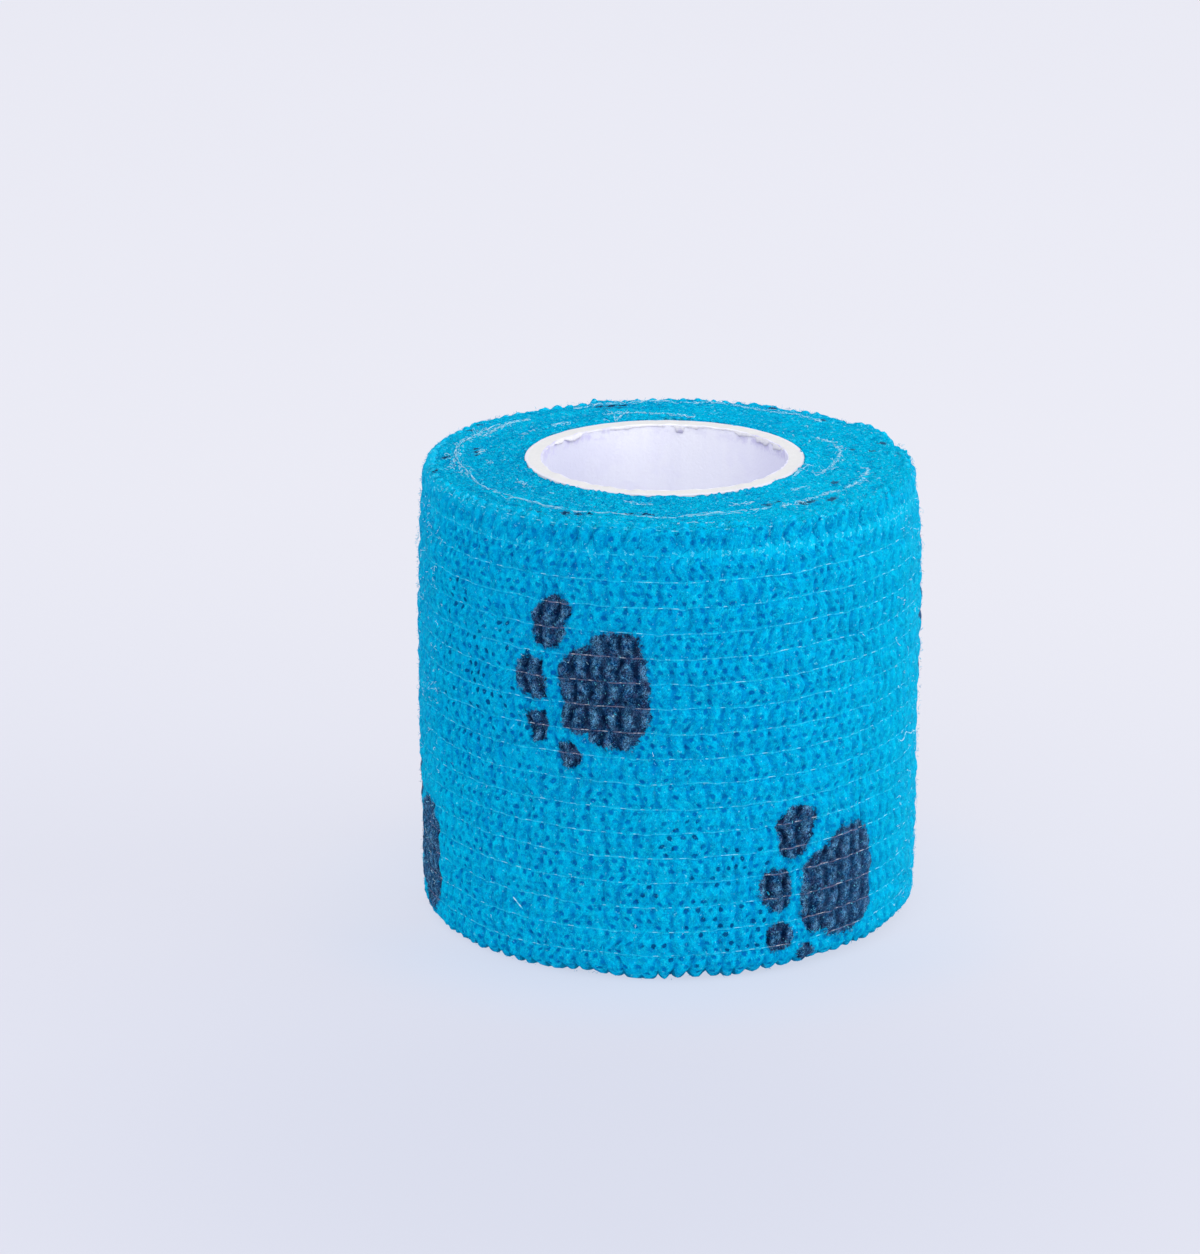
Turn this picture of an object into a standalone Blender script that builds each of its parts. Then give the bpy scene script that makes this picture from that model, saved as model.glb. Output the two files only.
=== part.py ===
"""A roll of elastic cohesive bandage, wound on a short cardboard tube.

Two pieces are made. The band is one solid of its wound form: a wall with
crosswise crepe ribs, soft rounded edges that are scalloped between the ribs, and
the low step where the last turn ends. The core is a plain tube inside it.

Metres, +Z up. The origin is the centre of the face that the roll stands on, and
the roll's axis is +Z. Angles are measured round +Z from +X.
"""
import math

import bpy

# Driving dimensions.
BAND_WIDTH = 0.0500        # the band's width is the height of the wound roll
ROLL_RADIUS = 0.0269       # mean outer radius of the wound band
CORE_RADIUS = 0.0154       # outer radius of the tube
CORE_WALL = 0.0019
CORE_PROUD = 0.00025       # the tube stands this far out of the top turns
CLEARANCE = 0.0003         # between the tube and the first turn

# The band's own form.
TURN_THICKNESS = 0.00055   # one turn of creped band, and so the step at its end
RIB_COUNT = 96             # crosswise crepe ribs round the roll
RIB_DEPTH = 0.00030        # from valley to crest on the wall
HEM_SCALLOP = 0.00036      # how far the edge dips between two ribs
TOP_ROUND = (0.0020, 0.0023)      # radial and upright size of the top shoulder
BASE_ROUND = (0.0025, 0.0024)     # the same at the foot
TOP_TAPER = 0.00025        # the wall's radius grows by this from foot to top
WALL_BULGE = 0.00020       # the wall stands out by this at mid height
WALL_ROWS = 6
ROUND_ROWS = 4
STEPS = 2 * RIB_COUNT      # a column of points on each crest and each valley
TAIL_COLUMN = 8.5          # the last turn ends between columns 8 and 9

# Height of the wound edge over the top face, from the first turn to the shoulder:
# (share of the way out, rise).
TOP_FACE_RISE = (
    (0.00, -0.00020),
    (0.22, 0.00000),
    (0.48, -0.00006),
    (0.72, 0.00008),
    (0.90, -0.00016),
)

# Strength of the ribs round the roll: a mean, and waves of (count round, phase, size).
RIB_MEAN = 0.80
RIB_WAVES = (
    (5, 0.4, 0.14),
    (17, 0.0, 0.06),
)

# Slow unevenness of the winding: (waves round, waves up, phase, size).
UNEVEN_WAVES = (
    (2, 0.0, 0.7, 0.00010),
    (3, 1.0, 2.1, 0.00006),
    (7, 0.6, 4.0, 0.00004),
)

CORE_STEPS = 96
CORE_EDGE = 0.00030        # the broken edge of the cut cardboard

FULL_TURN = 2 * math.pi
QUARTER_TURN = math.pi / 2
FLOOR_TOUCH = 0.00001      # lower than this, a point lies on the flat base
INNER_RADIUS = CORE_RADIUS + CLEARANCE
TAIL_ANGLE = FULL_TURN * TAIL_COLUMN / STEPS


def clear_scene():
    for obj in list(bpy.data.objects):
        bpy.data.objects.remove(obj, do_unlink=True)


def make_collection(name):
    collection = bpy.data.collections.new(name)
    bpy.context.scene.collection.children.link(collection)
    return collection


def make_material(name, colour, roughness):
    material = bpy.data.materials.new(name)
    material.use_nodes = True
    shader = material.node_tree.nodes["Principled BSDF"]
    shader.inputs["Base Color"].default_value = (*colour, 1.0)
    shader.inputs["Roughness"].default_value = roughness
    shader.inputs["Metallic"].default_value = 0.0
    return material


def edge_round(centre, size, first, last):
    """Points on a quarter ellipse in the section, from one angle to another."""
    wide, high = size
    points = []
    for row in range(ROUND_ROWS + 1):
        turn = first + (last - first) * row / ROUND_ROWS
        points.append((centre[0] + wide * math.cos(turn), centre[1] + high * math.sin(turn)))
    return points


def band_profile():
    """The wound band's section at +X, clockwise from the inner top corner."""
    top_radius = ROLL_RADIUS + TOP_TAPER / 2
    base_radius = ROLL_RADIUS - TOP_TAPER / 2
    shoulder = (top_radius - TOP_ROUND[0], BAND_WIDTH - TOP_ROUND[1])
    foot = (base_radius - BASE_ROUND[0], BASE_ROUND[1])
    points = []
    for share, rise in TOP_FACE_RISE:
        points.append((INNER_RADIUS + (shoulder[0] - INNER_RADIUS) * share, BAND_WIDTH + rise))
    points += edge_round(shoulder, TOP_ROUND, QUARTER_TURN, 0.0)
    for row in range(1, WALL_ROWS):
        share = row / WALL_ROWS
        bulge = 4 * WALL_BULGE * share * (1 - share)
        radius = top_radius + (base_radius - top_radius) * share + bulge
        points.append((radius, shoulder[1] + (foot[1] - shoulder[1]) * share))
    points += edge_round(foot, BASE_ROUND, 0.0, -QUARTER_TURN)
    points.append((INNER_RADIUS, 0.0))
    return points


def core_profile():
    """The tube's section at +X, clockwise from the inner top edge."""
    inner = CORE_RADIUS - CORE_WALL
    top = BAND_WIDTH + CORE_PROUD
    return [
        (inner, top - CORE_EDGE),
        (inner + CORE_EDGE, top),
        (CORE_RADIUS - CORE_EDGE, top),
        (CORE_RADIUS, top - CORE_EDGE),
        (CORE_RADIUS, CORE_EDGE),
        (CORE_RADIUS - CORE_EDGE, 0.0),
        (inner + CORE_EDGE, 0.0),
        (inner, CORE_EDGE),
    ]


def turned(name, profile, steps, collection, material):
    """An object whose closed profile is turned round +Z by a Screw modifier."""
    mesh = bpy.data.meshes.new(name)
    edges = [(i, (i + 1) % len(profile)) for i in range(len(profile))]
    mesh.from_pydata([(radius, 0.0, height) for radius, height in profile], edges, [])
    mesh.materials.append(material)
    obj = bpy.data.objects.new(name, mesh)
    collection.objects.link(obj)
    screw = obj.modifiers.new("turn", "SCREW")
    screw.axis = "Z"
    screw.angle = FULL_TURN
    screw.steps = steps
    screw.render_steps = steps
    screw.use_merge_vertices = True
    screw.merge_threshold = 0.00001
    screw.use_smooth_shade = True
    return obj


def as_mesh_object(obj, name):
    """A plain mesh object made from what obj's modifiers give, in obj's place."""
    collection = obj.users_collection[0]
    depsgraph = bpy.context.evaluated_depsgraph_get()
    mesh = bpy.data.meshes.new_from_object(obj.evaluated_get(depsgraph))
    bpy.data.objects.remove(obj, do_unlink=True)
    mesh.name = name
    result = bpy.data.objects.new(name, mesh)
    collection.objects.link(result)
    return result


def smooth_step(value):
    value = min(max(value, 0.0), 1.0)
    return value * value * (3 - 2 * value)


def wound_growth(angle):
    """How far in or out the last turn lies: innermost just past its end, outermost at it."""
    share = ((angle - TAIL_ANGLE) % FULL_TURN) / FULL_TURN
    return TURN_THICKNESS * (share - 0.5)


def crepe(angle):
    """-1 in a valley and 1 on a crest, with ribs of unlike strength."""
    strength = RIB_MEAN
    for around, phase, size in RIB_WAVES:
        strength += size * math.sin(around * angle + phase)
    return strength * math.cos(RIB_COUNT * angle)


def unevenness(angle, height):
    total = 0.0
    for around, upward, phase, size in UNEVEN_WAVES:
        total += size * math.sin(around * angle + FULL_TURN * upward * height / BAND_WIDTH + phase)
    return total


def wind(point):
    """Moves a point of the turned band to where the wound, creped band has it."""
    x, y, z = point
    radius = math.hypot(x, y)
    angle = math.atan2(y, x)
    outward = smooth_step((radius - INNER_RADIUS) / (ROLL_RADIUS - INNER_RADIUS))
    shift = outward * wound_growth(angle)
    if z > FLOOR_TOUCH:
        on_wall = smooth_step((radius - ROLL_RADIUS + BASE_ROUND[0]) / BASE_ROUND[0])
        shift += on_wall * (0.5 * RIB_DEPTH * crepe(angle) + unevenness(angle, z))
        # The edge dips between two ribs, most where it turns over.
        from_edge = min((BAND_WIDTH - z) / TOP_ROUND[1], z / BASE_ROUND[1])
        dip = 0.5 * HEM_SCALLOP * on_wall * (1 - crepe(angle)) * (1 - smooth_step(from_edge))
        z += dip if z < BAND_WIDTH / 2 else -dip
    scale = (radius + shift) / radius
    return (x * scale, y * scale, z)


def make_band(collection):
    material = make_material("creped_band", (0.0, 0.40, 0.70), 0.85)
    turned_band = turned("band_turned", band_profile(), STEPS, collection, material)
    band = as_mesh_object(turned_band, "bandage_roll")
    for vertex in band.data.vertices:
        vertex.co = wind(vertex.co)
    band.data.shade_smooth()
    return band


def make_core(collection):
    material = make_material("white_cardboard", (0.85, 0.84, 0.83), 0.80)
    return turned("core_tube", core_profile(), CORE_STEPS, collection, material)


def main():
    clear_scene()
    collection = make_collection("cohesive_bandage_roll")
    make_band(collection)
    make_core(collection)


main()
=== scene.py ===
"""The looks of a roll of elastic cohesive bandage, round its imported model.

Metres, +Z up, in the model's own frame. Angles round the roll are taken from the
side that faces the camera, and grow towards the right, so that they follow the
last turn from where it starts to its cut end.
"""
import math
import bmesh
import bpy
import numpy as np
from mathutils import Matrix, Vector


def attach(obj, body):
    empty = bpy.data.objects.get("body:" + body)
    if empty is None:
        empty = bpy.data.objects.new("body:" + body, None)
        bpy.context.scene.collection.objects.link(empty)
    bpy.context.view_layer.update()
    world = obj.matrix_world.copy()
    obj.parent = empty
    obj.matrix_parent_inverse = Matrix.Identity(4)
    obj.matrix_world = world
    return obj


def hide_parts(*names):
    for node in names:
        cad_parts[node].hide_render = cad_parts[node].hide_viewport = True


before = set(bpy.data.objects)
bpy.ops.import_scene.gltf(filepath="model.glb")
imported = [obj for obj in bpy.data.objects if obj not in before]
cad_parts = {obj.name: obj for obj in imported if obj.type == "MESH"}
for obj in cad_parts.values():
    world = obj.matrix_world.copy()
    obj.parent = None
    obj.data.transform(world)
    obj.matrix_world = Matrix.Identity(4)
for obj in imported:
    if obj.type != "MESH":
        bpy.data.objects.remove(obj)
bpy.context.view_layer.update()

MM = 0.001
FULL_TURN = 2 * math.pi
QUARTER_TURN = math.pi / 2

# The camera that took the picture.
CAMERA_PLACE = (0.0, -0.52371, 0.19301)
CAMERA_TILT = math.radians(72.8132)
CAMERA_TURN = math.radians(0.8106)
CAMERA_LENS = 144.62

# The wound roll.
ROLL_RADIUS = 26.9 * MM            # mean radius of the last turn
BAND_WIDTH = 50.0 * MM
TURN_THICKNESS = 0.55 * MM
TAIL_ANGLE = math.radians(105.9)   # where the last turn is cut
TOP_ROUND = (1.20 * MM, 2.3 * MM)  # radial and upright size of the top shoulder
TOP_LEAN = 0.55 * MM               # the wall leans in by this under the shoulder
SIDE_LEAN = 0.15 * MM              # and by this more on the right and less on the left
LEAN_START = 40.5 * MM
BASE_ROUND = (1.6 * MM, 2.2 * MM)
TOP_TAPER = 0.25 * MM
WALL_BULGE = 0.20 * MM
SHOULDER = BAND_WIDTH - TOP_ROUND[1]
FOOT = BASE_ROUND[1]
TOP_ARC = 2.90 * MM                # length of the band that lies over the shoulder
FOOT_ARC = 3.25 * MM

# The tube inside, a little oval and out of the middle.
CORE_INNER = 13.5 * MM
CORE_OUTER = 15.4 * MM
CORE_TOP = 50.25 * MM
TUBE_ASIDE = 0.45 * MM             # it stands this far to the left
TUBE_WIDTH = 0.979                 # its width, from left to right, beside its depth

# The wound edges of the turns between the tube and the last turn.
EDGE_INNER = 15.50 * MM
EDGE_OUTER = 25.85 * MM
FOOT_EDGE_OUTER = 24.90 * MM

# The creped cloth.
PLEATS = 96                        # crosswise pleats in one turn
COLUMNS_PER_PLEAT = 6
COLUMNS = PLEATS * COLUMNS_PER_PLEAT
OVERLAP = 6                        # columns of the last turn that lie under its own end
PLEAT_DEPTH = 0.30 * MM
TOP_DIP = 0.46 * MM                # the hems dip by this between two pleats
FOOT_DIP = 0.27 * MM
FOOT_CLIMB = 0.80 * MM             # the foot of the last turn stands this high near the cut end
THREAD_DEPTH = 0.26 * MM
PITS = 144                         # pits in one row of one turn
PIT_DEPTH = 0.14 * MM
PIT_RADIUS = 0.36 * MM
FIRST_THREAD = 3.1 * MM            # distance along the band's width of the lowest thread
THREAD_STEP = 2.74 * MM
ROWS_PER_THREAD = 9
PIT_ROWS_PER_THREAD = 3
PIT_PITCH = FULL_TURN * ROLL_RADIUS / PITS
PIT_ROW = THREAD_STEP / PIT_ROWS_PER_THREAD


def cloud(shape, reach, seed):
    """Seeded noise of unit spread on a grid, with bumps of about reach (down, along) cells."""
    grain = np.random.default_rng(seed).standard_normal(shape)
    down = np.fft.fftfreq(shape[0])[:, None] * reach[0]
    along = np.fft.rfftfreq(shape[1])[None, :] * reach[1]
    kept = np.exp(-2 * math.pi ** 2 * (down ** 2 + along ** 2))
    soft = np.fft.irfft2(np.fft.rfft2(grain) * kept, s=shape)
    return (soft - soft.mean()) / soft.std()


def clouds(shape, *kinds):
    """Seeded noises added up, each given by its size in mm, its reach and its seed."""
    return sum(size * MM * cloud(shape, reach, seed) for size, reach, seed in kinds)


def smooth_step(value, low, high):
    share = np.clip((value - low) / (high - low), 0.0, 1.0)
    return share * share * (3 - 2 * share)


def past(angle, degrees=0.0):
    """How far an angle lies past one in degrees, from half a turn back to half a turn on."""
    return (angle - math.radians(degrees) + math.pi) % FULL_TURN - math.pi


def around(angle, radius, height):
    """Points of the roll from angles, radii and heights, the last axis x, y, z."""
    angle, radius, height = np.broadcast_arrays(angle, radius, height)
    return np.stack([radius * np.sin(angle), -radius * np.cos(angle), height], axis=-1)


# ------------------------------------------------------------------ meshes

def as_mesh(bm, name):
    """The mesh that a bmesh makes; the bmesh is freed."""
    mesh = bpy.data.meshes.new(name)
    bm.to_mesh(mesh)
    bm.free()
    return mesh


def read_points(mesh):
    """The x, y and z of a mesh's points."""
    points = np.empty(len(mesh.vertices) * 3, np.float32)
    mesh.vertices.foreach_get("co", points)
    return points.reshape(-1, 3).T


def set_points(mesh, points, attributes):
    """Moves a mesh's points, and gives them the attributes that its finish reads."""
    mesh.vertices.foreach_set("co", points.astype(np.float32).ravel())
    for key, values in attributes.items():
        layer = mesh.attributes.new(key, "FLOAT_VECTOR", "POINT")
        layer.data.foreach_set("vector", values.astype(np.float32).ravel())
    return mesh


WELD = 0.001 * MM
TEMPLATE_WELD = 0.01       # the tube template's steps are one unit long


def sheet(name, points, attributes, weld=WELD):
    """A closed mesh of one grid of points, an array of rows x columns x 3."""
    rows, columns = points.shape[:2]
    bm = bmesh.new()
    bmesh.ops.create_grid(bm, x_segments=columns - 1, y_segments=rows - 1, size=1.0)
    return closed(set_points(as_mesh(bm, name), points, attributes), weld)


def closed(mesh, weld):
    """Welds the seams of a mesh, fills its ends and turns its faces outwards."""
    bm = bmesh.new()
    bm.from_mesh(mesh)
    bmesh.ops.remove_doubles(bm, verts=bm.verts, dist=weld)
    open_edges = [edge for edge in bm.edges if edge.is_boundary]
    bmesh.ops.holes_fill(bm, edges=open_edges, sides=0)
    bmesh.ops.recalc_face_normals(bm, faces=bm.faces)
    bm.to_mesh(mesh)
    bm.free()
    return mesh


def placed(name, data):
    """A new object in the scene."""
    obj = bpy.data.objects.new(name, data)
    bpy.context.scene.collection.objects.link(obj)
    return obj


def piece(mesh, material, replaced=None):
    """Puts a finished mesh in the scene as a piece of the roll."""
    mesh.materials.append(material)
    mesh.shade_smooth()
    obj = placed(mesh.name, mesh)
    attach(obj, "root")
    if replaced:
        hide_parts(replaced)


TUBE_END = 0.2                     # how thick a thread is at its ends


def tube_template(steps, sides):
    """A straight closed tube, and the step and the side that each of its points lies on."""
    turn = (FULL_TURN * np.arange(sides + 1) / sides)[:, None]
    points = np.stack(np.broadcast_arrays(np.arange(steps)[None, :], np.cos(turn), np.sin(turn)), axis=-1)
    mesh = sheet("tube_template", points, {}, TEMPLATE_WELD)
    x, y, z = read_points(mesh)
    side = np.round(np.arctan2(z, y) / FULL_TURN * sides).astype(int) % sides
    return mesh, np.round(x).astype(int), side


def repeated(mesh, count):
    """Turns a mesh into count copies of itself, one after the other."""
    whole = bmesh.new()
    while count:
        if count % 2:
            whole.from_mesh(mesh)
        count //= 2
        if count:
            double = bmesh.new()
            double.from_mesh(mesh)
            double.from_mesh(mesh)
            double.to_mesh(mesh)
            double.free()
    whole.to_mesh(mesh)
    whole.free()


def tubes(name, paths, radii, sides, attributes):
    """A mesh of thin tubes, one along each of paths, count x points x 3, closed at both ends."""
    along = np.gradient(paths, axis=1)
    along /= np.linalg.norm(along, axis=2, keepdims=True) + 1e-12
    aside = np.cross(along, np.array([0.03, 0.02, 1.0]))
    short = np.linalg.norm(aside, axis=2, keepdims=True) < 0.05
    aside = np.where(short, np.cross(along, np.array([1.0, 0.0, 0.1])), aside)
    aside /= np.linalg.norm(aside, axis=2, keepdims=True)
    upright = np.cross(along, aside)
    mesh, step, side = tube_template(paths.shape[1], sides)
    mesh.name = name
    repeated(mesh, len(paths))
    turn = (FULL_TURN * side / sides)[None, :, None]
    ring = aside[:, step] * np.cos(turn) + upright[:, step] * np.sin(turn)
    points = paths[:, step] + ring * radii[:, step, None]
    return set_points(mesh, points, {key: values[:, step] for key, values in attributes.items()})


# ------------------------------------------------------------------ the last turn

def last_turn_rows():
    """Distances along the band's width of the rows of points of the last turn's face."""
    foot = FOOT - FOOT_ARC * np.linspace(1.0, 0.0, 8)[:-1]
    lowest = math.ceil((FOOT - FIRST_THREAD) / THREAD_STEP * ROWS_PER_THREAD + 0.2)
    highest = math.floor((SHOULDER - FIRST_THREAD) / THREAD_STEP * ROWS_PER_THREAD)
    wall = FIRST_THREAD + THREAD_STEP * np.arange(lowest, highest + 1) / ROWS_PER_THREAD
    shoulder = SHOULDER + TOP_ARC * np.linspace(0.0, 1.0, 9)[1:]
    return np.concatenate([foot, wall, shoulder])


def section(along, angle=0.0):
    """Radius less the mean, height, and outward and upward share of the face's direction."""
    over = QUARTER_TURN * np.clip((along - SHOULDER) / TOP_ARC, 0, 1)
    under = QUARTER_TURN * np.clip((FOOT - along) / FOOT_ARC, 0, 1)
    height = np.clip(along, FOOT, SHOULDER)
    share = (height - FOOT) / (SHOULDER - FOOT)
    radius = TOP_TAPER * (share - 0.5) + 4 * WALL_BULGE * share * (1 - share)
    lean = TOP_LEAN + SIDE_LEAN * np.sin(angle)
    radius = radius - lean * np.clip((height - LEAN_START) / (SHOULDER - LEAN_START), 0, 1) ** 1.6
    radius = radius + TOP_ROUND[0] * (np.cos(over) ** 0.85 - 1) + BASE_ROUND[0] * (np.cos(under) - 1)
    height = height + TOP_ROUND[1] * np.sin(over) ** 0.9 - BASE_ROUND[1] * np.sin(under)
    return radius, height, np.cos(over + under), np.sin(over - under)


# Where the foot stands a little high in front: angle and half width in degrees, rise in mm.
FOOT_LOBES = (
    (7.5, 6.0, 0.22),
    (-19.0, 8.5, 0.28),
)


def foot_rise(angle):
    """How high the foot of the last turns stands: the winding climbs towards the cut end."""
    rise = FOOT_CLIMB * smooth_step(angle, math.radians(6), math.radians(44))
    for degrees, half, up in FOOT_LOBES:
        rise = rise + up * MM * np.exp(-((angle - math.radians(degrees)) / math.radians(half)) ** 4)
    return rise


# Where the top hem stands out of line: angle and half width in degrees, outward and up in mm.
HEM_LOBES = (
    (95.0, 3.2, -0.34, 0.0),
    (103.5, 2.4, -0.45, -0.35),
    (115.5, 8.0, 0.40, 0.42),
    (128.0, 2.0, -0.20, -0.20),
    (139.0, 2.2, 0.16, 0.16),
    (149.0, 3.0, -0.20, -0.12),
    (-163.0, 3.0, 0.25, 0.25),
    (-124.0, 3.0, 0.10, 0.18),
)


def hem_lobes(angle):
    """How far outward and upward the top hem stands out of line."""
    outward, upward = 0 * angle, 0 * angle
    for degrees, half, out, up in HEM_LOBES:
        share = np.exp(-(past(angle, degrees) / math.radians(half)) ** 4)
        outward = outward + share * out * MM
        upward = upward + share * up * MM
    return outward, upward


def squeezed(points):
    """Points with the tube, and the turns next to it, pressed a little out of true."""
    x = points[..., 0]
    near = smooth_step(np.hypot(x, points[..., 1]), EDGE_OUTER, CORE_OUTER)
    moved = points.copy()
    moved[..., 0] = x - near * (TUBE_ASIDE + (1 - TUBE_WIDTH) * x)
    return moved


def wound_growth(angle):
    """How far out the last turn lies at an angle: its end lies a turn's thickness higher."""
    return TURN_THICKNESS * ((angle - TAIL_ANGLE) / FULL_TURN + 0.5)


def calm_at_back(angle, share):
    """1 in front, and less by share at the back, where the edges lie more evenly."""
    return 1 - share * smooth_step(np.cos(angle), -0.3, -0.9)


def pit_lattice(across, upward):
    """Depth, 0 to 1, of the pits of a staggered lattice, and the strength of the nearest."""
    rng = np.random.default_rng(18)
    size = (64, 2 * PITS + 8)
    strong = rng.uniform(0.80, 1.15, size)
    weak = rng.uniform(0.10, 0.60, size)
    strengths = np.where(rng.random(size) < 0.52, strong, weak)
    across, upward = np.broadcast_arrays(across, upward)
    nearest = np.full(across.shape, 1e9)
    strength = np.zeros(across.shape)
    for shift in (0, 1):
        pit_across = np.round(across - 0.5 * shift) + 0.5 * shift
        pit_upward = 2 * np.round((upward - shift) / 2) + shift
        distance = np.hypot((across - pit_across) * PIT_PITCH, (upward - pit_upward) * PIT_ROW)
        row = pit_upward.astype(int) % size[0]
        column = (2 * pit_across).astype(int) % size[1]
        closer = distance < nearest
        strength = np.where(closer, strengths[row, column], strength)
        nearest = np.where(closer, distance, nearest)
    return np.clip(1 - (nearest / PIT_RADIUS) ** 2, 0, 1) ** 2, strength


class LastTurn:
    """The grid of the last turn's face: where its points lie, and what the cloth is there."""

    def __init__(self):
        self.along = last_turn_rows()[:, None]
        self.column = np.arange(-OVERLAP, COLUMNS + 1)[None, :]
        self.shape = (self.along.shape[0], self.column.shape[1])
        self.angle = TAIL_ANGLE + FULL_TURN * (self.column - COLUMNS) / COLUMNS
        self.gap = (self.along - FIRST_THREAD) / THREAD_STEP
        self.arch = np.abs(np.sin(math.pi * self.gap))
        pleat = np.abs(np.sin(math.pi * self.column / COLUMNS_PER_PLEAT)) ** 0.8
        self.unlike = np.clip(1 + 0.40 * cloud(self.shape, (3.6, 3.4), 11), 0.10, 1.9)
        self.pinch = (1 - pleat) * self.unlike
        jitter = (2.4, 2.8)
        self.pit_across = self.column * PITS / COLUMNS + 0.085 * cloud(self.shape, jitter, 19)
        self.pit_upward = self.gap * PIT_ROWS_PER_THREAD - 0.5 + 0.09 * cloud(self.shape, jitter, 20)
        self.pits, self.pit_strength = pit_lattice(self.pit_across, self.pit_upward)
        # The felted hem reaches lower on the left.
        left = smooth_step(-np.sin(self.angle), 0.25, 0.80)
        felt_start = BAND_WIDTH - (0.9 + 1.7 * left) * MM
        self.felted = smooth_step(self.along, felt_start, BAND_WIDTH + (0.5 - 0.7 * left) * MM)
        self.felted = self.felted + smooth_step(self.along, 0.6 * MM, -0.6 * MM)
        self.build()

    def hills(self):
        """How high the face stands over the mean: pleats, threads, pits and unevenness."""
        on_wall = 1 - self.felted
        pinch = self.pinch * (0.62 + 0.38 * self.arch)
        folded = smooth_step(self.along, SHOULDER - 2.0 * MM, SHOULDER)
        folded = folded * smooth_step(self.along, SHOULDER + 0.95 * TOP_ARC, SHOULDER + 0.45 * TOP_ARC)
        folded = folded * calm_at_back(self.angle, 0.8)
        height = 0.35 * PLEAT_DEPTH - PLEAT_DEPTH * pinch * (0.8 + 0.2 * on_wall + 0.45 * folded)
        height = height - THREAD_DEPTH * (1 - self.arch) * on_wall
        height = height - PIT_DEPTH * self.pits * self.pit_strength * on_wall
        felt = clouds(self.shape, (0.025, (0.7, 0.7), 13), (0.05, (1.5, 3.0), 23))
        uneven = clouds(self.shape, (0.030, (0.7, 0.7), 13), (0.030, (2.2, 2.8), 26), (0.05, (14, 20), 14))
        return height + felt * self.felted + uneven

    def build(self):
        height = self.hills()
        step = np.arange(self.shape[1])[None, :]
        from_end = self.shape[1] - 1 - step
        under_end = smooth_step(OVERLAP - step, -6, 2)
        height = height * (1 - 0.7 * under_end) - 0.12 * MM * under_end
        radius, level, outward, upward = section(self.along, self.angle)
        # The corner of the cut end stands off a little, most at the top.
        near_end = smooth_step(from_end, 10, 0)
        lift = near_end * (0.04 + 0.12 * smooth_step(self.along, 43 * MM, 49 * MM)) * MM
        self.radius = ROLL_RADIUS + wound_growth(self.angle) + radius + outward * height + lift
        drift = 0.20 * MM * np.sin(self.angle - math.radians(15))
        drift = drift + clouds(self.shape, (0.07, (12, 12), 15), (0.06, (2.2, 2.2), 16))
        inside = smooth_step(self.along, 0, 4 * MM)
        inside = inside * smooth_step(self.along, BAND_WIDTH, BAND_WIDTH - 4 * MM)
        # The hem dips between the pleats.
        at_top = smooth_step(self.along, SHOULDER + 0.3 * TOP_ARC, BAND_WIDTH + 0.6 * MM)
        at_foot = smooth_step(self.along, FOOT - 0.20 * FOOT_ARC, FOOT - 0.80 * FOOT_ARC)
        dip = self.pinch * (FOOT_DIP * at_foot - TOP_DIP * calm_at_back(self.angle, 0.4) * at_top)
        climb = foot_rise(self.angle) * smooth_step(self.along, 7 * MM, -1.0 * MM)
        self.level = np.maximum(level + upward * height + drift * inside + dip, 0.0) + climb
        lobes = smooth_step(self.along, SHOULDER - 1.0 * MM, SHOULDER + 0.7 * TOP_ARC)
        self.radius = self.radius + hem_lobes(self.angle)[0] * lobes
        self.level = self.level + hem_lobes(self.angle)[1] * lobes
        # The pleats run in zigzags, from one thread to the next.
        sway = clouds(self.shape, (0.22, (2.3, 5.0), 17), (0.10, (5.0, 5.0), 25), (0.04, (1.2, 1.8), 18))
        # They slant in the highest row.
        sway = sway + 0.45 * MM * smooth_step(self.along, 46.6 * MM, 50.2 * MM)
        ragged = 0.10 * MM * cloud((self.shape[0], 1), (1.3, 0), 24) * smooth_step(from_end, 5, 0)
        self.turned = self.angle + (sway * (1 - near_end) + ragged) / ROLL_RADIUS
        self.outward = outward + 0 * height
        self.upward = upward + 0 * height

    def points(self):
        return around(self.turned, self.radius, self.level)

    def attributes(self):
        """What the finishes need, for each point: print, crease and pit places."""
        values = {
            "print_place": (self.angle * ROLL_RADIUS, self.along, self.felted),
            "crease_place": (self.column / COLUMNS_PER_PLEAT, self.gap, self.unlike),
            "pit_place": (self.pit_across, self.pit_upward, self.pit_strength),
        }
        shape = self.shape
        return {
            key: np.stack([np.broadcast_to(value, shape) for value in three], axis=-1)
            for key, three in values.items()
        }


# The inner side of the last turn, top to bottom: radius less the mean, and height.
INNER_SIDE = (
    (-2.0 * MM, 49.45 * MM),
    (-0.50 * MM, 47.3 * MM),
    (-0.50 * MM, 2.8 * MM),
    (-1.65 * MM, 0.75 * MM),
)


def make_last_turn(turn, material):
    """The face of the last turn, with its print place and its pits, closed behind."""
    rows = [turn.points()]
    near_end = smooth_step(np.arange(turn.shape[1])[::-1], 30, 0)
    for inward, height in INNER_SIDE:
        thin = inward * (1 - 0.45 * near_end) if inward > -1.0 * MM else inward
        radius = ROLL_RADIUS + wound_growth(turn.angle[0]) + thin
        rows.append(around(turn.turned[-1], radius, height)[None])
    rows.append(rows[0][:1])
    points = np.concatenate(rows)
    hidden = ((0, len(INNER_SIDE) + 1), (0, 0), (0, 0))
    attributes = {key: np.pad(values, hidden, "edge") for key, values in turn.attributes().items()}
    piece(sheet("outer_turn", points, attributes), material, "bandage_roll")


THREAD_RADIUS = 0.036 * MM
THREAD_SUNK = 0.044 * MM           # the threads' middles lie this far under the mean face
THREADS = 17


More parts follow.
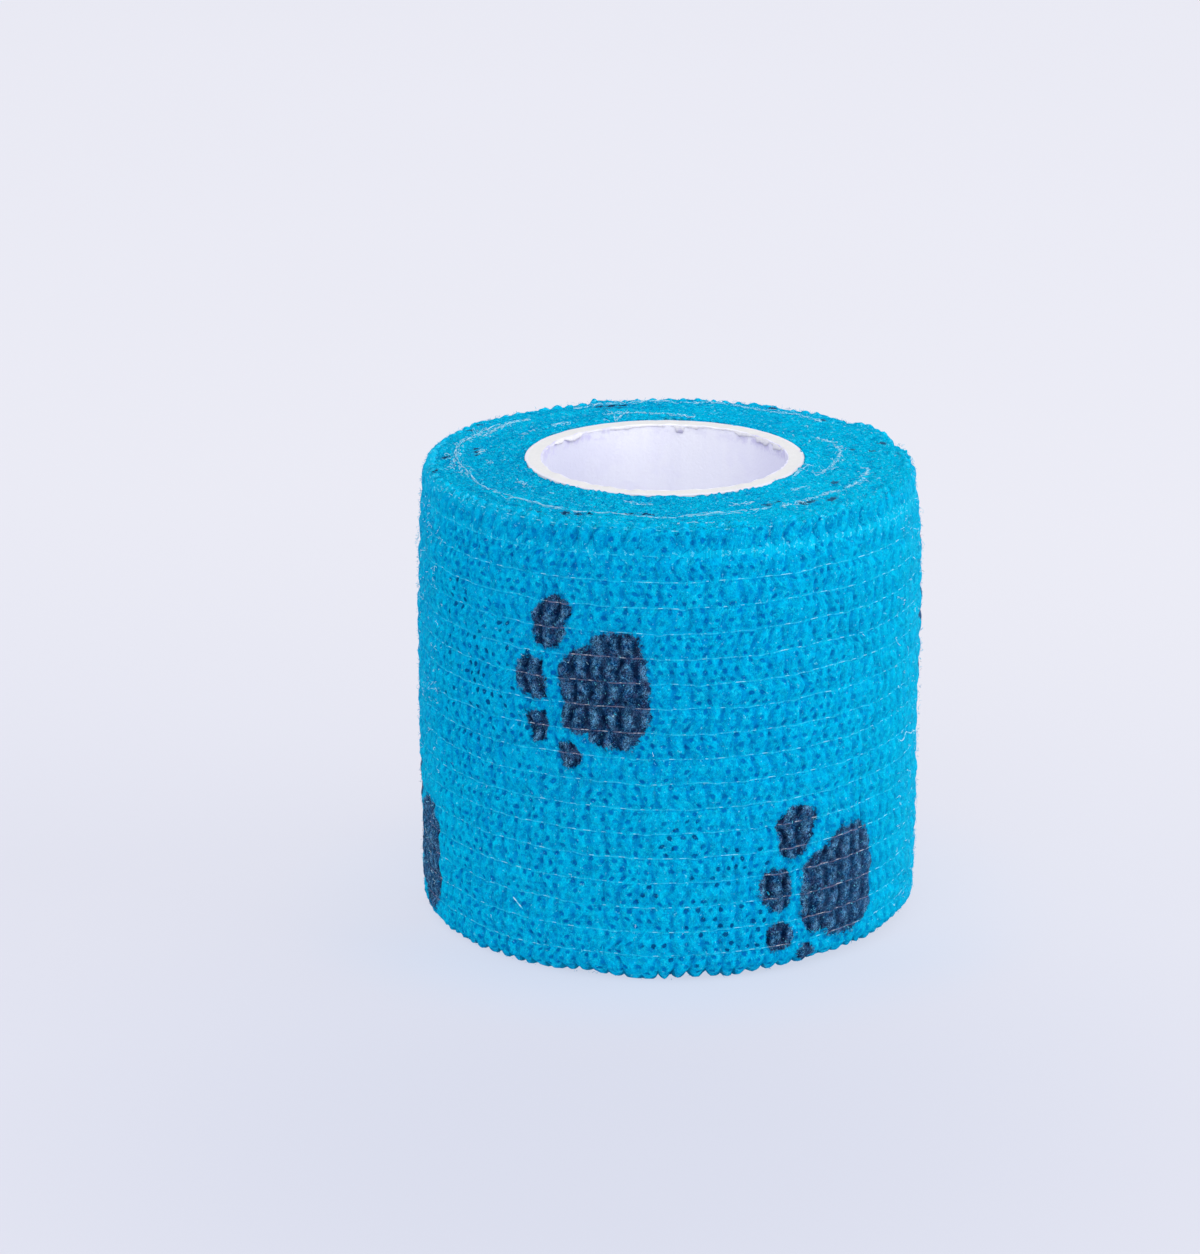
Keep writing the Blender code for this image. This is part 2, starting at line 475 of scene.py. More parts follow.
def softened(values, reach):
    """A row of values averaged over about reach neighbours."""
    span = 3 * reach
    share = np.exp(-0.5 * (np.arange(-span, span + 1) / reach) ** 2)
    return np.convolve(np.pad(values, span, mode="edge"), share / share.sum(), mode="valid")


def make_threads(turn, material):
    """The elastic threads, which run straight and come out in the valleys."""
    paths, places = [], []
    for number in range(THREADS + 1):
        height = FIRST_THREAD + THREAD_STEP * number
        row = int(np.argmin(np.abs(turn.along[:, 0] - height)))
        loose = cloud((1, turn.shape[1]), (0, 2.6), 200 + number)[0]
        sunk = THREAD_SUNK - 0.026 * MM * loose + 0.020 * MM * smooth_step(-np.sin(turn.angle[0]), -0.2, 0.8)
        if number == THREADS:
            sunk = sunk + 0.03 * MM
        out = softened(turn.radius[row], 5) - sunk * turn.outward[row]
        level = softened(turn.level[row], 4) - sunk * turn.upward[row]
        paths.append(around(turn.turned[row], out, level))
        place = (turn.angle[0] * ROLL_RADIUS, np.full(out.size, height), loose)
        places.append(np.stack(place, axis=-1))
    paths = np.array(paths)
    radii = np.full(paths.shape[:2], THREAD_RADIUS)
    radii[:, [0, -1]] *= TUBE_END
    mesh = tubes("elastic_threads", paths, radii, 4, {"print_place": np.array(places)})
    piece(mesh, material)


# ------------------------------------------------------------------ the wound edges

EDGE_COLUMNS = 700
EDGE_ROWS = 84
EDGE_PITCH = 0.49 * MM             # from one wound turn to the next
# Mean level of the wound edges from the tube to the last turn: share of the way, rise in mm.
EDGE_RISE = (
    (0.00, 0.27),
    (0.03, 0.18),
    (0.10, 0.06),
    (0.22, 0.02),
    (0.48, -0.04),
    (0.72, 0.06),
    (0.92, -0.04),
    (1.00, -0.22),
)

# Bits of the print that show at the wound edges: angle in degrees, radius in mm, and half
# their length and half their width in mm.
EDGE_PRINTS = (
    (-78.6, 25.5, 0.60, 0.34), (-66.8, 25.4, 0.30, 0.30), (-92.7, 24.1, 0.58, 0.50),
    (-97.3, 20.9, 0.50, 0.42), (-117.7, 24.8, 0.50, 0.42), (-123.0, 24.9, 0.45, 0.40),
    (-101.0, 21.3, 0.35, 0.34), (-94.0, 20.7, 0.30, 0.30), (-33.8, 24.9, 0.95, 0.26),
    (-26.5, 23.9, 0.60, 0.46), (-23.4, 23.7, 0.50, 0.42), (-20.4, 23.6, 0.40, 0.34),
    (-10.3, 21.8, 0.55, 0.34), (-5.4, 21.6, 0.75, 0.30), (15.1, 25.0, 0.45, 0.42),
    (30.5, 20.9, 0.65, 0.56), (35.0, 20.6, 0.45, 0.26), (38.6, 22.7, 0.55, 0.55),
    (41.4, 22.8, 0.85, 0.38), (46.8, 23.5, 0.95, 0.36), (63.8, 20.1, 0.40, 0.42),
    (106.6, 24.4, 0.40, 0.45), (101.2, 20.6, 0.35, 0.35), (98.2, 22.5, 0.35, 0.40),
    (-161.0, 23.7, 0.60, 0.35), (-164.0, 23.6, 0.70, 0.35), (-167.5, 23.5, 0.60, 0.30),
    (-162.5, 22.3, 0.70, 0.30), (-166.0, 22.4, 0.70, 0.30), (152.0, 24.8, 0.60, 0.30),
    (134.0, 23.9, 0.50, 0.30),
)


class WoundEdges:
    """The edges of all the turns inside the last one: a ring with an uneven, felted face."""

    def __init__(self, rows, top, seed):
        self.top = top
        shape = (rows, EDGE_COLUMNS)
        share = (np.arange(EDGE_COLUMNS) / EDGE_COLUMNS)[None, :]
        self.angle = TAIL_ANGLE + FULL_TURN * share
        out = (np.arange(rows) / (rows - 1))[:, None]
        edge = EDGE_OUTER if top else FOOT_EDGE_OUTER
        radius = EDGE_INNER + (edge - EDGE_INNER) * out
        growth = TURN_THICKNESS * (share - 0.5) * smooth_step(out, 0, 1)
        # Each turn has its own crinkle.
        turn = (radius - EDGE_INNER) / EDGE_PITCH - share
        which = np.floor(turn).astype(int) + 2
        rng = np.random.default_rng(seed)
        counts = rng.integers(60, 120, 64)[which]
        phases = rng.uniform(0, FULL_TURN, 64)[which]
        heights = rng.normal(0, 0.03, 64)[which] * MM
        patchy = 0.6 + 0.6 * cloud(shape, (3, 9), seed + 5)
        crinkle = np.sin(counts * self.angle + phases) * patchy
        across = turn + 0.14 * crinkle + 0.30 * cloud(shape, (2.0, 12), seed + 1)
        clear = np.clip(0.6 + 0.6 * cloud(shape, (5, 16), seed + 6), 0, 1)
        self.ridge = (1 - np.abs(2 * (across % 1.0) - 1) ** 3) * clear
        calm = calm_at_back(self.angle, 0.42)
        lie = heights + 0.075 * MM * (self.ridge - 1) * calm + 0.040 * MM * crinkle
        lie = lie + 0.040 * MM * calm * cloud(shape, (0.9, 0.75), seed + 2)
        self.lumps = cloud(shape, (2.1, 1.7), seed + 7)
        lie = lie + 0.045 * MM * calm * self.lumps + 0.06 * MM * cloud(shape, (6, 9), seed + 3)
        shares, rises = zip(*EDGE_RISE)
        lie = lie + np.interp(out, shares, rises) * MM
        climb = foot_rise(past(self.angle)) * smooth_step(out, 0.55, 0.95)
        lobes = hem_lobes(self.angle)[1] * smooth_step(out, 0.75, 1.0)
        self.height = BAND_WIDTH + lie + lobes if top else np.maximum(0.06 * MM - lie, 0.0) + climb
        at_tube = smooth_step(out, 0.05, 0.0)
        waver = 0.03 * MM * crinkle + 0.05 * MM * cloud(shape, (2, 2), seed + 4)
        ragged = 0.14 * MM * at_tube * np.minimum(cloud((1, EDGE_COLUMNS), (0, 3.0), seed + 8), 0.2)
        self.radius = radius + growth + waver + ragged
        self.shape = shape

    def printed(self):
        """How near each point is to a bit of print, 1 on it."""
        found = np.zeros(self.shape)
        for degrees, radius, half_length, half_width in EDGE_PRINTS:
            across = past(self.angle, degrees) * self.radius / (half_length * MM)
            outward = (self.radius - radius * MM) / (half_width * MM)
            found = np.maximum(found, np.exp(-across ** 2 - outward ** 2))
        return found if self.top else 0 * found

    def level_at(self, angle, radius):
        """Height of the face at angles and radii, from its nearest points."""
        column = np.round((angle - TAIL_ANGLE) / FULL_TURN * EDGE_COLUMNS).astype(int) % EDGE_COLUMNS
        row = np.round((radius - EDGE_INNER) / (EDGE_OUTER - EDGE_INNER) * (self.shape[0] - 1))
        return self.height[np.clip(row.astype(int), 0, self.shape[0] - 1), column]

    def make(self, name, material):
        points = around(self.angle, self.radius, self.height)
        back = BAND_WIDTH - 2.5 * MM if self.top else 2.5 * MM
        behind = [around(self.angle, edge, back) for edge in (self.radius[-1:], self.radius[:1])]
        points = np.concatenate([points, *behind, points[:1]])
        points = squeezed(np.concatenate([points, points[:, :1]], axis=1))
        place = np.stack([self.ridge, self.lumps, self.printed()], axis=-1)
        place = np.pad(place, ((0, 3), (0, 0), (0, 0)), "edge")
        place = np.concatenate([place, place[:, :1]], axis=1)
        piece(sheet(name, points, {"edge_place": place}), material)


# ------------------------------------------------------------------ loose threads and fibres

# Frayed white threads on the wound edges: points of angle in degrees and radius in mm.
LONG_THREADS = (
    ((-126.9, 23.3), (-114, 22.9), (-106.6, 23.5), (-96.3, 23.3), (-85, 22.5), (-75.3, 21.9), (-58, 22.7),
     (-49.2, 22.8), (-39.9, 22.7), (-29.5, 23.0), (-20.8, 22.9), (-12.9, 22.6), (-4.9, 22.5), (5.6, 22.6),
     (13.9, 22.2), (22.7, 21.9), (30.4, 21.7)),
    ((32.0, 22.2), (37.5, 22.4), (44.0, 22.1), (50.5, 21.9), (56, 22.0)),
    ((58, 22.2), (66.2, 22.4), (74, 22.0), (82, 21.8)),
    ((117.4, 18.6), (111.4, 20.0), (97.0, 19.2), (81.9, 18.3), (66.7, 17.7)),
    ((-154, 24.2), (-160, 24.4), (-168, 24.3), (-176, 24.6), (-186, 24.4), (-196, 24.5)),
    ((-158.9, 19.8), (-166, 20.1), (-173.8, 19.6), (-182, 18.4), (-191.1, 17.3)),
    ((-136, 22.2), (-128, 22.6), (-120, 22.2), (-114, 22.3)),
    ((132, 22.9), (143, 23.5), (154, 23.2), (163, 23.7)),
)
SHORT_THREADS = (
    ((61.8, 15.7), (70, 15.95), (79.4, 16.1)),
    ((47.1, 18.4), (51, 18.6), (55.6, 18.7)),
    ((-160.3, 16.5), (-161.5, 18.3), (-163.3, 20.2)),
    ((-160.3, 16.5), (-164.0, 18.6), (-167.9, 20.8)),
    ((-136.6, 18.8), (-141, 18.6), (-145.1, 18.8)),
    ((-127.2, 19.1), (-128.5, 19.1), (-130.3, 19.2)),
    ((-93.7, 20.7), (-97, 20.4), (-100.9, 20.3)),
    ((-122.0, 18.8), (-122.8, 18.8), (-124.0, 18.9)),
    ((20, 19.4), (24, 19.5), (29, 19.3)),
    ((-62, 18.1), (-57, 18.3), (-52, 18.2)),
    ((-15, 17.2), (-9, 17.3), (-4, 17.2)),
    ((2, 25.0), (7, 25.1), (11, 25.0)),
)


# The filaments of one frayed thread: how far each strays from it, and its radius, in mm.
FILAMENTS = ((0.04, 0.036), (0.09, 0.024), (0.17, 0.018), (0.30, 0.015))


def over_face(edges, angle, radius, above):
    """Points that lie above the wound edges, or above the shoulder outside them."""
    level = edges.level_at(angle, radius)
    past = np.clip((radius - ROLL_RADIUS + TOP_LEAN + TOP_ROUND[0]) / TOP_ROUND[0], 0, 0.98)
    shoulder = SHOULDER + TOP_ROUND[1] * np.sqrt(1 - past ** 2)
    level = np.where(radius > EDGE_OUTER, shoulder, level)
    return squeezed(around(angle, radius, level + above))


def laid_thread(edges, bends, count, loose, rng):
    """One filament that follows bends over the face and strays from them by about loose."""
    degrees, radii = np.array(bends).T
    place = np.linspace(0, len(bends) - 1, count)
    angle = np.radians(np.interp(place, np.arange(len(bends)), degrees))
    radius = np.interp(place, np.arange(len(bends)), radii) * MM
    stray = cloud((1, count), (0, 5.0), int(rng.integers(10 ** 6)))[0]
    shake = cloud((1, count), (0, 1.4), int(rng.integers(10 ** 6)))[0]
    radius = softened(radius, 4) + (loose * stray + (0.03 + 0.3 * loose) * shake) * MM
    lift = 0.005 + 0.055 * cloud((1, count), (0, 2.5), int(rng.integers(10 ** 6)))[0]
    path = over_face(edges, angle, radius, 0)
    path[:, 2] = softened(path[:, 2], 2) + (lift + 0.15 * loose) * MM
    return path


def make_frayed_threads(edges, material):
    """Frayed white threads and thread ends that lie on the wound edges."""
    rng = np.random.default_rng(71)
    for name, threads, count in (("frayed_threads", LONG_THREADS, 300), ("thread_ends", SHORT_THREADS, 40)):
        paths, radii = [], []
        for bends in threads:
            for loose, radius in FILAMENTS:
                paths.append(laid_thread(edges, bends, count, loose, rng))
                radii.append(np.full(count, radius * MM))
                radii[-1][[0, -1]] *= TUBE_END
        piece(tubes(name, np.array(paths), np.array(radii), 4, {}), material)


def curls(bases, directions, lengths, swirl, count, rng):
    """Curly fibres: paths that leave bases along directions and wander by swirl of their length."""
    bases, directions, lengths = (np.concatenate(kinds) for kinds in (bases, directions, lengths))
    directions /= np.linalg.norm(directions, axis=1, keepdims=True)
    number = len(bases)
    share = np.linspace(0, 1, count)[None, :, None]
    paths = bases[:, None] + directions[:, None] * lengths[:, None, None] * share
    for wave in (1, 2, 3):
        sideways = rng.normal(0, 1, (number, 1, 3)) * (swirl * lengths / wave)[:, None, None]
        phase = rng.uniform(0, FULL_TURN, (number, 1, 3))
        turns = rng.uniform(0.6, 1.1, (number, 1, 1)) * wave * FULL_TURN
        paths = paths + sideways * (np.sin(turns * share + phase) - np.sin(phase))
    return paths


def wall_frame(angle, along):
    """Points of the last turn's mean face, and its outward, sideways and upward directions."""
    radius, level, outward, upward = section(along, angle)
    level = level + foot_rise(angle) * smooth_step(along, 7 * MM, -1.0 * MM)
    base = around(angle, ROLL_RADIUS + wound_growth(angle) + radius, level)
    normal = around(angle, outward, upward)
    sideways = around(angle + QUARTER_TURN, 1.0, 0.0)
    return base, normal, sideways, np.cross(normal, sideways)


# Short fibres on the last turn: their count, the range along the band and the longest, in mm.
WALL_FIBRES = ((5000, 1.0, 48.5, 0.38), (1100, 48.4, 50.8, 0.38), (160, -0.8, 1.0, 0.30))
TOP_FIBRES = 800
FIBRE_RADII = (0.010 * MM, 0.019 * MM)
FIBRE_TAPER = (1, 1, 0.9, 0.7, 0.3)
LOWEST_FIBRE = 0.04 * MM


def make_fuzz(edges, material):
    """Short loose fibres on the wall, at the hems and on the wound edges."""
    rng = np.random.default_rng(81)
    starts, ways, lengths, places = [], [], [], []
    for count, low, high, longest in WALL_FIBRES:
        angle = TAIL_ANGLE - FULL_TURN * rng.random(count)
        along = rng.uniform(low, high, count) * MM
        base, normal, sideways, upright = wall_frame(angle, along)
        places.append(np.stack([angle * ROLL_RADIUS, along, 0 * along], axis=-1))
        mix = rng.normal(0, 1, (3, count, 1))
        way = normal * (0.28 + 0.22 * np.abs(mix[0])) + sideways * mix[1] * 0.8 + upright * mix[2] * 0.8
        starts.append(base + normal * 0.05 * MM)
        ways.append(way)
        lengths.append(rng.uniform(0.2, longest, count) * MM)
    angle = FULL_TURN * rng.random(TOP_FIBRES)
    radius = np.sqrt(rng.uniform(15.6 ** 2, 25.6 ** 2, TOP_FIBRES)) * MM
    mix = rng.normal(0, 1, (2, TOP_FIBRES))
    heading = np.stack([mix[0], mix[1], 0.3 + 0.25 * np.abs(mix[0])], axis=-1)
    starts.append(over_face(edges, angle, radius, 0.01 * MM))
    ways.append(heading)
    lengths.append(rng.uniform(0.15, 0.5, TOP_FIBRES) * MM)
    # On the wound edges a fibre's print place lies off the band, so that it isn't printed.
    places.append(np.tile([0.0, 4 * BAND_WIDTH, 0.0], (TOP_FIBRES, 1)))
    bends = len(FIBRE_TAPER)
    paths = curls(starts, ways, lengths, 0.16, bends, rng)
    paths[:, :, 2] = np.maximum(paths[:, :, 2], LOWEST_FIBRE)
    radii = rng.uniform(*FIBRE_RADII, (len(paths), 1)) * np.array(FIBRE_TAPER)
    places = np.repeat(np.concatenate(places)[:, None], bends, axis=1)
    piece(tubes("fuzz_fibres", paths, radii, 3, {"print_place": places}), material)


# A loose white fibre at the right of the wall: angle in degrees and distance along the band in mm.
CURLY_FIBRE = (
    (63.5, 22.5), (65.4, 21.87), (67.3, 21.82), (67.9, 22.19), (68.6, 22.54), (70.9, 22.04), (72.6, 21.73),
    (74.5, 21.78), (78.1, 21.11), (81.7, 20.84),
)


# Tufts on the wound edges: range of angle in degrees, range of radius, count and longest.
TUFTS = (
    (-122, -72, 22.5, 23.8, 110, 0.8),
    (-86.5, -82.5, 18.8, 19.5, 6, 0.9),
    (-180, 180, 16.0, 25.4, 45, 0.6),
    (100, 175, 17.0, 25.5, 20, 0.7),
    (-166, -158, 16.2, 20.5, 6, 1.2),
    (70, 118, 18.0, 20.2, 10, 1.2),
)
# Lint on the wall: range of angle, range along the band, count and longest.
LINT = (
    (-77, -64.5, 25.6, 28.2, 14, 1.2),
    (-85, 100, 3.0, 48.0, 30, 0.5),
    (60, 100, 44.0, 49.5, 16, 0.6),
    (-85, -60, 30.0, 49.5, 14, 0.6),
    (62, 96, 2.0, 48.0, 150, 0.8),
    (-96, -62, 2.0, 48.0, 150, 0.8),
)
LINT_RADII = (0.014 * MM, 0.026 * MM)
LINT_BENDS = 16
STIFF_FIBRE = ((-36.9, 7.72), (-34.1, 6.60))     # its ends: angle and distance along the band


def on_wall(ends):
    """Points of the wall at angles and distances along the band, and the ways outwards there."""
    degrees, level = np.array(ends).T
    points, outwards, _, _ = wall_frame(np.radians(degrees), level * MM)
    return points, outwards


def bent(points):
    """One path of LINT_BENDS points, spread evenly over a line of points."""
    place = np.linspace(0, len(points) - 1, LINT_BENDS)
    return np.stack([np.interp(place, np.arange(len(points)), axis) for axis in points.T], axis=-1)[None]


def make_tufts(edges, material):
    """Curled white filaments: tufts on the wound edges and lint on the wall."""
    rng = np.random.default_rng(91)
    starts, ways, lengths = [], [], []
    for first, last, inner, outer, count, longest in TUFTS:
        angle = np.radians(rng.uniform(first, last, count))
        radius = rng.uniform(inner, outer, count) * MM
        heading = angle + QUARTER_TURN + rng.normal(0, 0.6, count)
        starts.append(over_face(edges, angle, radius, 0.03 * MM))
        ways.append(around(heading, 1.0, rng.uniform(0, 0.10, count)))
        lengths.append(rng.uniform(0.3, 1.0, count) ** 1.5 * longest * MM)
    for first, last, low, high, count, longest in LINT:
        base, normal, sideways, upright = wall_frame(
            np.radians(rng.uniform(first, last, count)), rng.uniform(low, high, count) * MM)
        mix = rng.normal(0, 1, (2, count, 1))
        starts.append(base + normal * 0.06 * MM)
        ways.append(sideways * mix[0] + upright * mix[1] + normal * 0.15)
        lengths.append(rng.uniform(0.3, 1.0, count) ** 1.5 * longest * MM)
    paths = curls(starts, ways, lengths, 0.17, LINT_BENDS, rng)
    radii = rng.uniform(*LINT_RADII, (len(paths), 1)) * np.ones((1, LINT_BENDS))
    # One stiff white fibre lies across the wall, low on the left, and a curly one at the right.
    stiff, outwards = on_wall(STIFF_FIBRE)
    paths = np.concatenate([paths, bent(stiff + outwards[:1] * 0.24 * MM)])
    curly, outwards = on_wall(CURLY_FIBRE)
    paths = np.concatenate([paths, bent(curly + outwards * 0.16 * MM)])
    for radius in (0.072, 0.045):
        radii = np.concatenate([radii, np.full((1, LINT_BENDS), radius * MM)])
    radii[:, [0, -1]] *= TUBE_END
    piece(tubes("tufts_and_lint", paths, radii, 4, {}), material)


# ------------------------------------------------------------------ the cardboard tube

CORE_STEPS = 288


def ripple(angle, low, high, seed):
    """Seeded unevenness round the roll, of unit spread, with low to high waves round."""
    rng = np.random.default_rng(seed)
    total = 0 * angle
    for count in range(low, high + 1):
        total = total + rng.normal() * np.sin(count * angle + rng.uniform(0, FULL_TURN))
    return total / math.sqrt((high - low + 1) / 2)


def core_section():
    """The tube's section, from the outer foot up, over the rim and down the inner wall."""
    edge = 0.10 * MM
    points = [(CORE_OUTER - edge, 0.0), (CORE_OUTER, edge)]
    points += [(CORE_OUTER, height * MM) for height in (10, 20, 30, 40, 46, 48, 49)]
    for step in range(5):
        turn = QUARTER_TURN * step / 4
        points.append((CORE_OUTER - edge + edge * math.cos(turn), CORE_TOP - edge + edge * math.sin(turn)))
    for share in (0.15, 0.3, 0.45, 0.6, 0.75, 0.88):
        points.append((CORE_OUTER - edge - share * (CORE_OUTER - CORE_INNER - 2 * edge), CORE_TOP))
    for step in range(5):
        turn = QUARTER_TURN * step / 4
        points.append((CORE_INNER + edge - edge * math.sin(turn), CORE_TOP - edge + edge * math.cos(turn)))
    for height in (49.8, 49.5, 49.2, 48.8, 48.4, 47.5, 46, 43, 39, 34, 28, 22, 16, 10, 5, 2):
        points.append((CORE_INNER, height * MM))
    points += [(CORE_INNER, edge), (CORE_INNER + edge, 0.0)]
    return points


def make_core(material):
    """The cut tube, with an uneven rim and a bore that isn't quite round."""
    bm = bmesh.new()
    ring = [bm.verts.new((0.0, -radius, height)) for radius, height in core_section()]
    edges = [bm.edges.new((ring[i - 1], ring[i])) for i in range(len(ring))]
    bmesh.ops.spin(
        bm, geom=ring + edges, cent=(0, 0, 0), axis=(0, 0, 1), dvec=(0, 0, 0),
        angle=FULL_TURN, steps=CORE_STEPS, use_merge=True,
    )
    bmesh.ops.remove_doubles(bm, verts=bm.verts, dist=WELD)
    bmesh.ops.recalc_face_normals(bm, faces=bm.faces)
    mesh = as_mesh(bm, "core_board")
    x, y, z = read_points(mesh)
    radius = np.hypot(x, y)
    angle = np.arctan2(x, -y)
    on_rim = smooth_step(z, CORE_TOP - 0.6 * MM, CORE_TOP - 0.1 * MM)
    inner = smooth_step(radius, CORE_OUTER - 0.5 * MM, CORE_INNER)
    z = z + on_rim * 0.035 * MM * ripple(angle, 3, 60, 31) * (0.3 + inner)
    radius = radius + on_rim * inner * 0.06 * MM * ripple(angle, 4, 70, 32)
    radius = radius + inner * 0.03 * MM * ripple(angle, 2, 9, 33)
    set_points(mesh, squeezed(around(angle, radius, z)), {})
    piece(mesh, material, "core_tube")


LIP_STEPS = 560
LIP_ENDS = (math.radians(97), math.radians(262))
# A hanging tab, a torn flap and notches: angle and half width in degrees, and how much deeper
# and more curled the paper is there, in mm.
LIP_TEARS = (
    (173.0, 2.1, 0.50, 0.06), (-131.0, 5.0, 0.40, 0.22), (-119.0, 3.5, 0.16, 0.10), (126.0, 4.5, 0.32, 0.16),
    (141.0, 3.5, 0.18, 0.12), (112.0, 4.0, 0.34, 0.20), (102.0, 4.0, 0.16, 0.18),
)


def make_core_lip(material):
    """The torn paper at the inner edge of the cut, which hangs a little into the bore."""
    angle = np.linspace(LIP_ENDS[0], LIP_ENDS[1], LIP_STEPS + 1)[None, :]
    jagged = cloud((1, LIP_STEPS + 1), (0, 2.6), 36)
    back = smooth_step(angle, LIP_ENDS[0], LIP_ENDS[0] + 0.35)
    back = back * smooth_step(angle, LIP_ENDS[1], LIP_ENDS[1] - 0.35)
    depth = back * (0.10 + 0.07 * np.clip(jagged, -0.6, 2) + 0.06 * ripple(angle, 5, 16, 37))
    curl = back * (0.03 + 0.03 * np.clip(ripple(angle, 4, 20, 38), 0, 2))
    for degrees, half, deeper, curled in LIP_TEARS:
        away = np.abs(past(angle, degrees))
        share = smooth_step(away, math.radians(half * 1.3), math.radians(half * 0.7))
        depth = depth + share * deeper * back
        curl = curl + share * curled * back
    depth = np.clip(depth, 0.02, 1.2) * MM
    curl = curl * MM
    # It starts and ends inside the board.
    inner = CORE_INNER + 0.08 * MM * (1 - back)
    rows = (
        (inner + 0.34 * MM, CORE_TOP - 0.03 * MM),
        (inner + 0.12 * MM, CORE_TOP - 0.03 * MM),
        (inner - 0.01 * MM - 0.3 * curl, CORE_TOP - 0.08 * MM),
        (inner - 0.03 * MM - 0.8 * curl, CORE_TOP - 0.12 * MM - 0.5 * depth),
        (inner - 0.03 * MM - curl, CORE_TOP - 0.14 * MM - depth),
        (inner + 0.01 * MM - curl, CORE_TOP - 0.14 * MM - depth),
        (inner + 0.10 * MM, CORE_TOP - 0.16 * MM),
        (inner + 0.34 * MM, CORE_TOP - 0.14 * MM),
        (inner + 0.34 * MM, CORE_TOP - 0.03 * MM),
    )
    level = 0.035 * MM * ripple(angle, 3, 60, 31) * 1.3
    wave = 0.03 * MM * ripple(angle, 2, 9, 33)
    points = [around(angle, radius + wave, height + level)[0] for radius, height in rows]
    points = squeezed(np.array(points))
    points[-1] = points[0]
    piece(sheet("core_lip", points, {}), material)


# ------------------------------------------------------------------ finishes

class Signal:
    """An output of a shader node that takes part in Python arithmetic."""

    def __init__(self, tree, output=None):
        self.tree = tree
        self.output = output

    def node(self, kind, settings, sockets, output=0):
        """Adds a node: its settings come first, then the values or links of its sockets."""
        node = self.tree.nodes.new("ShaderNode" + kind)
        for name, value in settings.items():
            setattr(node, name, value)
        for name, value in sockets.items():
            if isinstance(value, Signal):
                self.tree.links.new(value.output, node.inputs[name])
            else:
                node.inputs[name].default_value = value
        return Signal(self.tree, node.outputs[output])

    def math(self, operation, first, second=0.0):
        return self.node("Math", {"operation": operation}, {0: first, 1: second})

    def __add__(self, other):
        return self.math("ADD", self, other)

    def __sub__(self, other):
        return self.math("SUBTRACT", self, other)

    def __rsub__(self, other):
        return self.math("SUBTRACT", other, self)

    def __mul__(self, other):
        return self.math("MULTIPLY", self, other)

    def __pow__(self, other):
        return self.math("POWER", self, other)

    def __abs__(self):
        return self.math("ABSOLUTE", self)

    __radd__ = __add__
    __rmul__ = __mul__


def ink(red, green, blue):
    """A colour as it shows on a screen, 0 to 255, in the shader's own measure."""
    linear = []
    for value in (red / 255, green / 255, blue / 255):
        linear.append(value / 12.92 if value <= 0.04045 else ((value + 0.055) / 1.055) ** 2.4)
    return (*linear, 1.0)


def between(value, low, high):
    """0 at low and 1 at high, smooth between them and level past them; high may be the lower."""
    sockets = {"Value": value, "From Min": min(low, high), "From Max": max(low, high)}
    share = value.node("MapRange", {"interpolation_type": "SMOOTHSTEP"}, sockets)
    return share if low < high else 1 - share


def blend(first, second, share):
    """The first colour, and the second where share is 1."""
    return share.node("Mix", {"data_type": "RGBA"}, {0: share, 6: first, 7: second}, 2)


def layered(colour, layers):
    """A colour with inks over it, each given by its red, green and blue and its share."""
    for red, green, blue, share in layers:
        colour = blend(colour, ink(red, green, blue), share)
    return colour


def tinted(stops, value):
    """A colour that runs through stops, each a value and its red, green and blue."""
    low, *shades = stops[0]
    colour = ink(*shades)
    for high, *shades in stops[1:]:
        colour = blend(colour, ink(*shades), between(value, low, high))
        low = high
    return colour


def least(first, second):
    return first.math("MINIMUM", first, second)


def ping_pong(value, size):
    return value.math("PINGPONG", value, size)


def wrapped(value, period):
    """A value less its nearest whole number of periods."""
    return value.node("Math", {"operation": "WRAP"}, {0: value, 1: period / 2, 2: -period / 2})


def noise(place, scale, detail=2.0, rough=0.5, stir=0.0):
    """Noise of about 0.5 from a place in millimetres, with scale bumps to a millimetre."""
    sockets = {"Vector": place, "Scale": scale, "Detail": detail, "Roughness": rough, "Distortion": stir}
    return place.node("TexNoise", {}, sockets)


def start(name):
    """A new material, and its place in millimetres on the object."""
    material = bpy.data.materials.new(name)
    material.use_nodes = True
    tree = material.node_tree
    root = Signal(tree)
    coordinates = root.node("TexCoord", {}, {}, "Object")
    place = root.node("VectorMath", {"operation": "SCALE"}, {0: coordinates, "Scale": 1 / MM})
    return material, place


def parts(place):
    return [place.node("SeparateXYZ", {}, {0: place}, axis) for axis in range(3)]


def attribute(place, name):
    """The three values of a piece's own attribute."""
    return parts(place.node("Attribute", {"attribute_name": name}, {}, "Vector"))


def moved(place, across, up, out=0.0):
    """A place shifted by so many millimetres."""
    return place.node("VectorMath", {"operation": "ADD"}, {0: place, 1: (across, up, out)})


def strands(place, scale, thin, apart=0.0, stir=1.5):
    """Thin curly lines, 1 on them, where a stirred noise passes through its middle."""
    value = noise(moved(place, apart, 2 * apart, 3 * apart), scale, 1.0, 0.5, stir) - 0.5
    return between(abs(value), thin, 0.25 * thin)


def give_off(material, glow):
    """Lets a material give off a little light of its own."""
    shader = material.node_tree.nodes["Principled BSDF"]
    shader.inputs["Emission Strength"].default_value = 1.0
    material.node_tree.links.new(glow.output, shader.inputs["Emission Color"])


def finish(material, colour, roughness, height, depth, specular=0.0):
    """Gives the material's shader a colour, a roughness and a bump of that depth."""
    shader = material.node_tree.nodes["Principled BSDF"]
    shader.inputs["Roughness"].default_value = roughness
    shader.inputs["Specular IOR Level"].default_value = specular
    bump = height.node("Bump", {}, {"Strength": 1.0, "Distance": depth, "Height": height})
    material.node_tree.links.new(colour.output, shader.inputs["Base Color"])
    material.node_tree.links.new(bump.output, shader.inputs["Normal"])
    return material


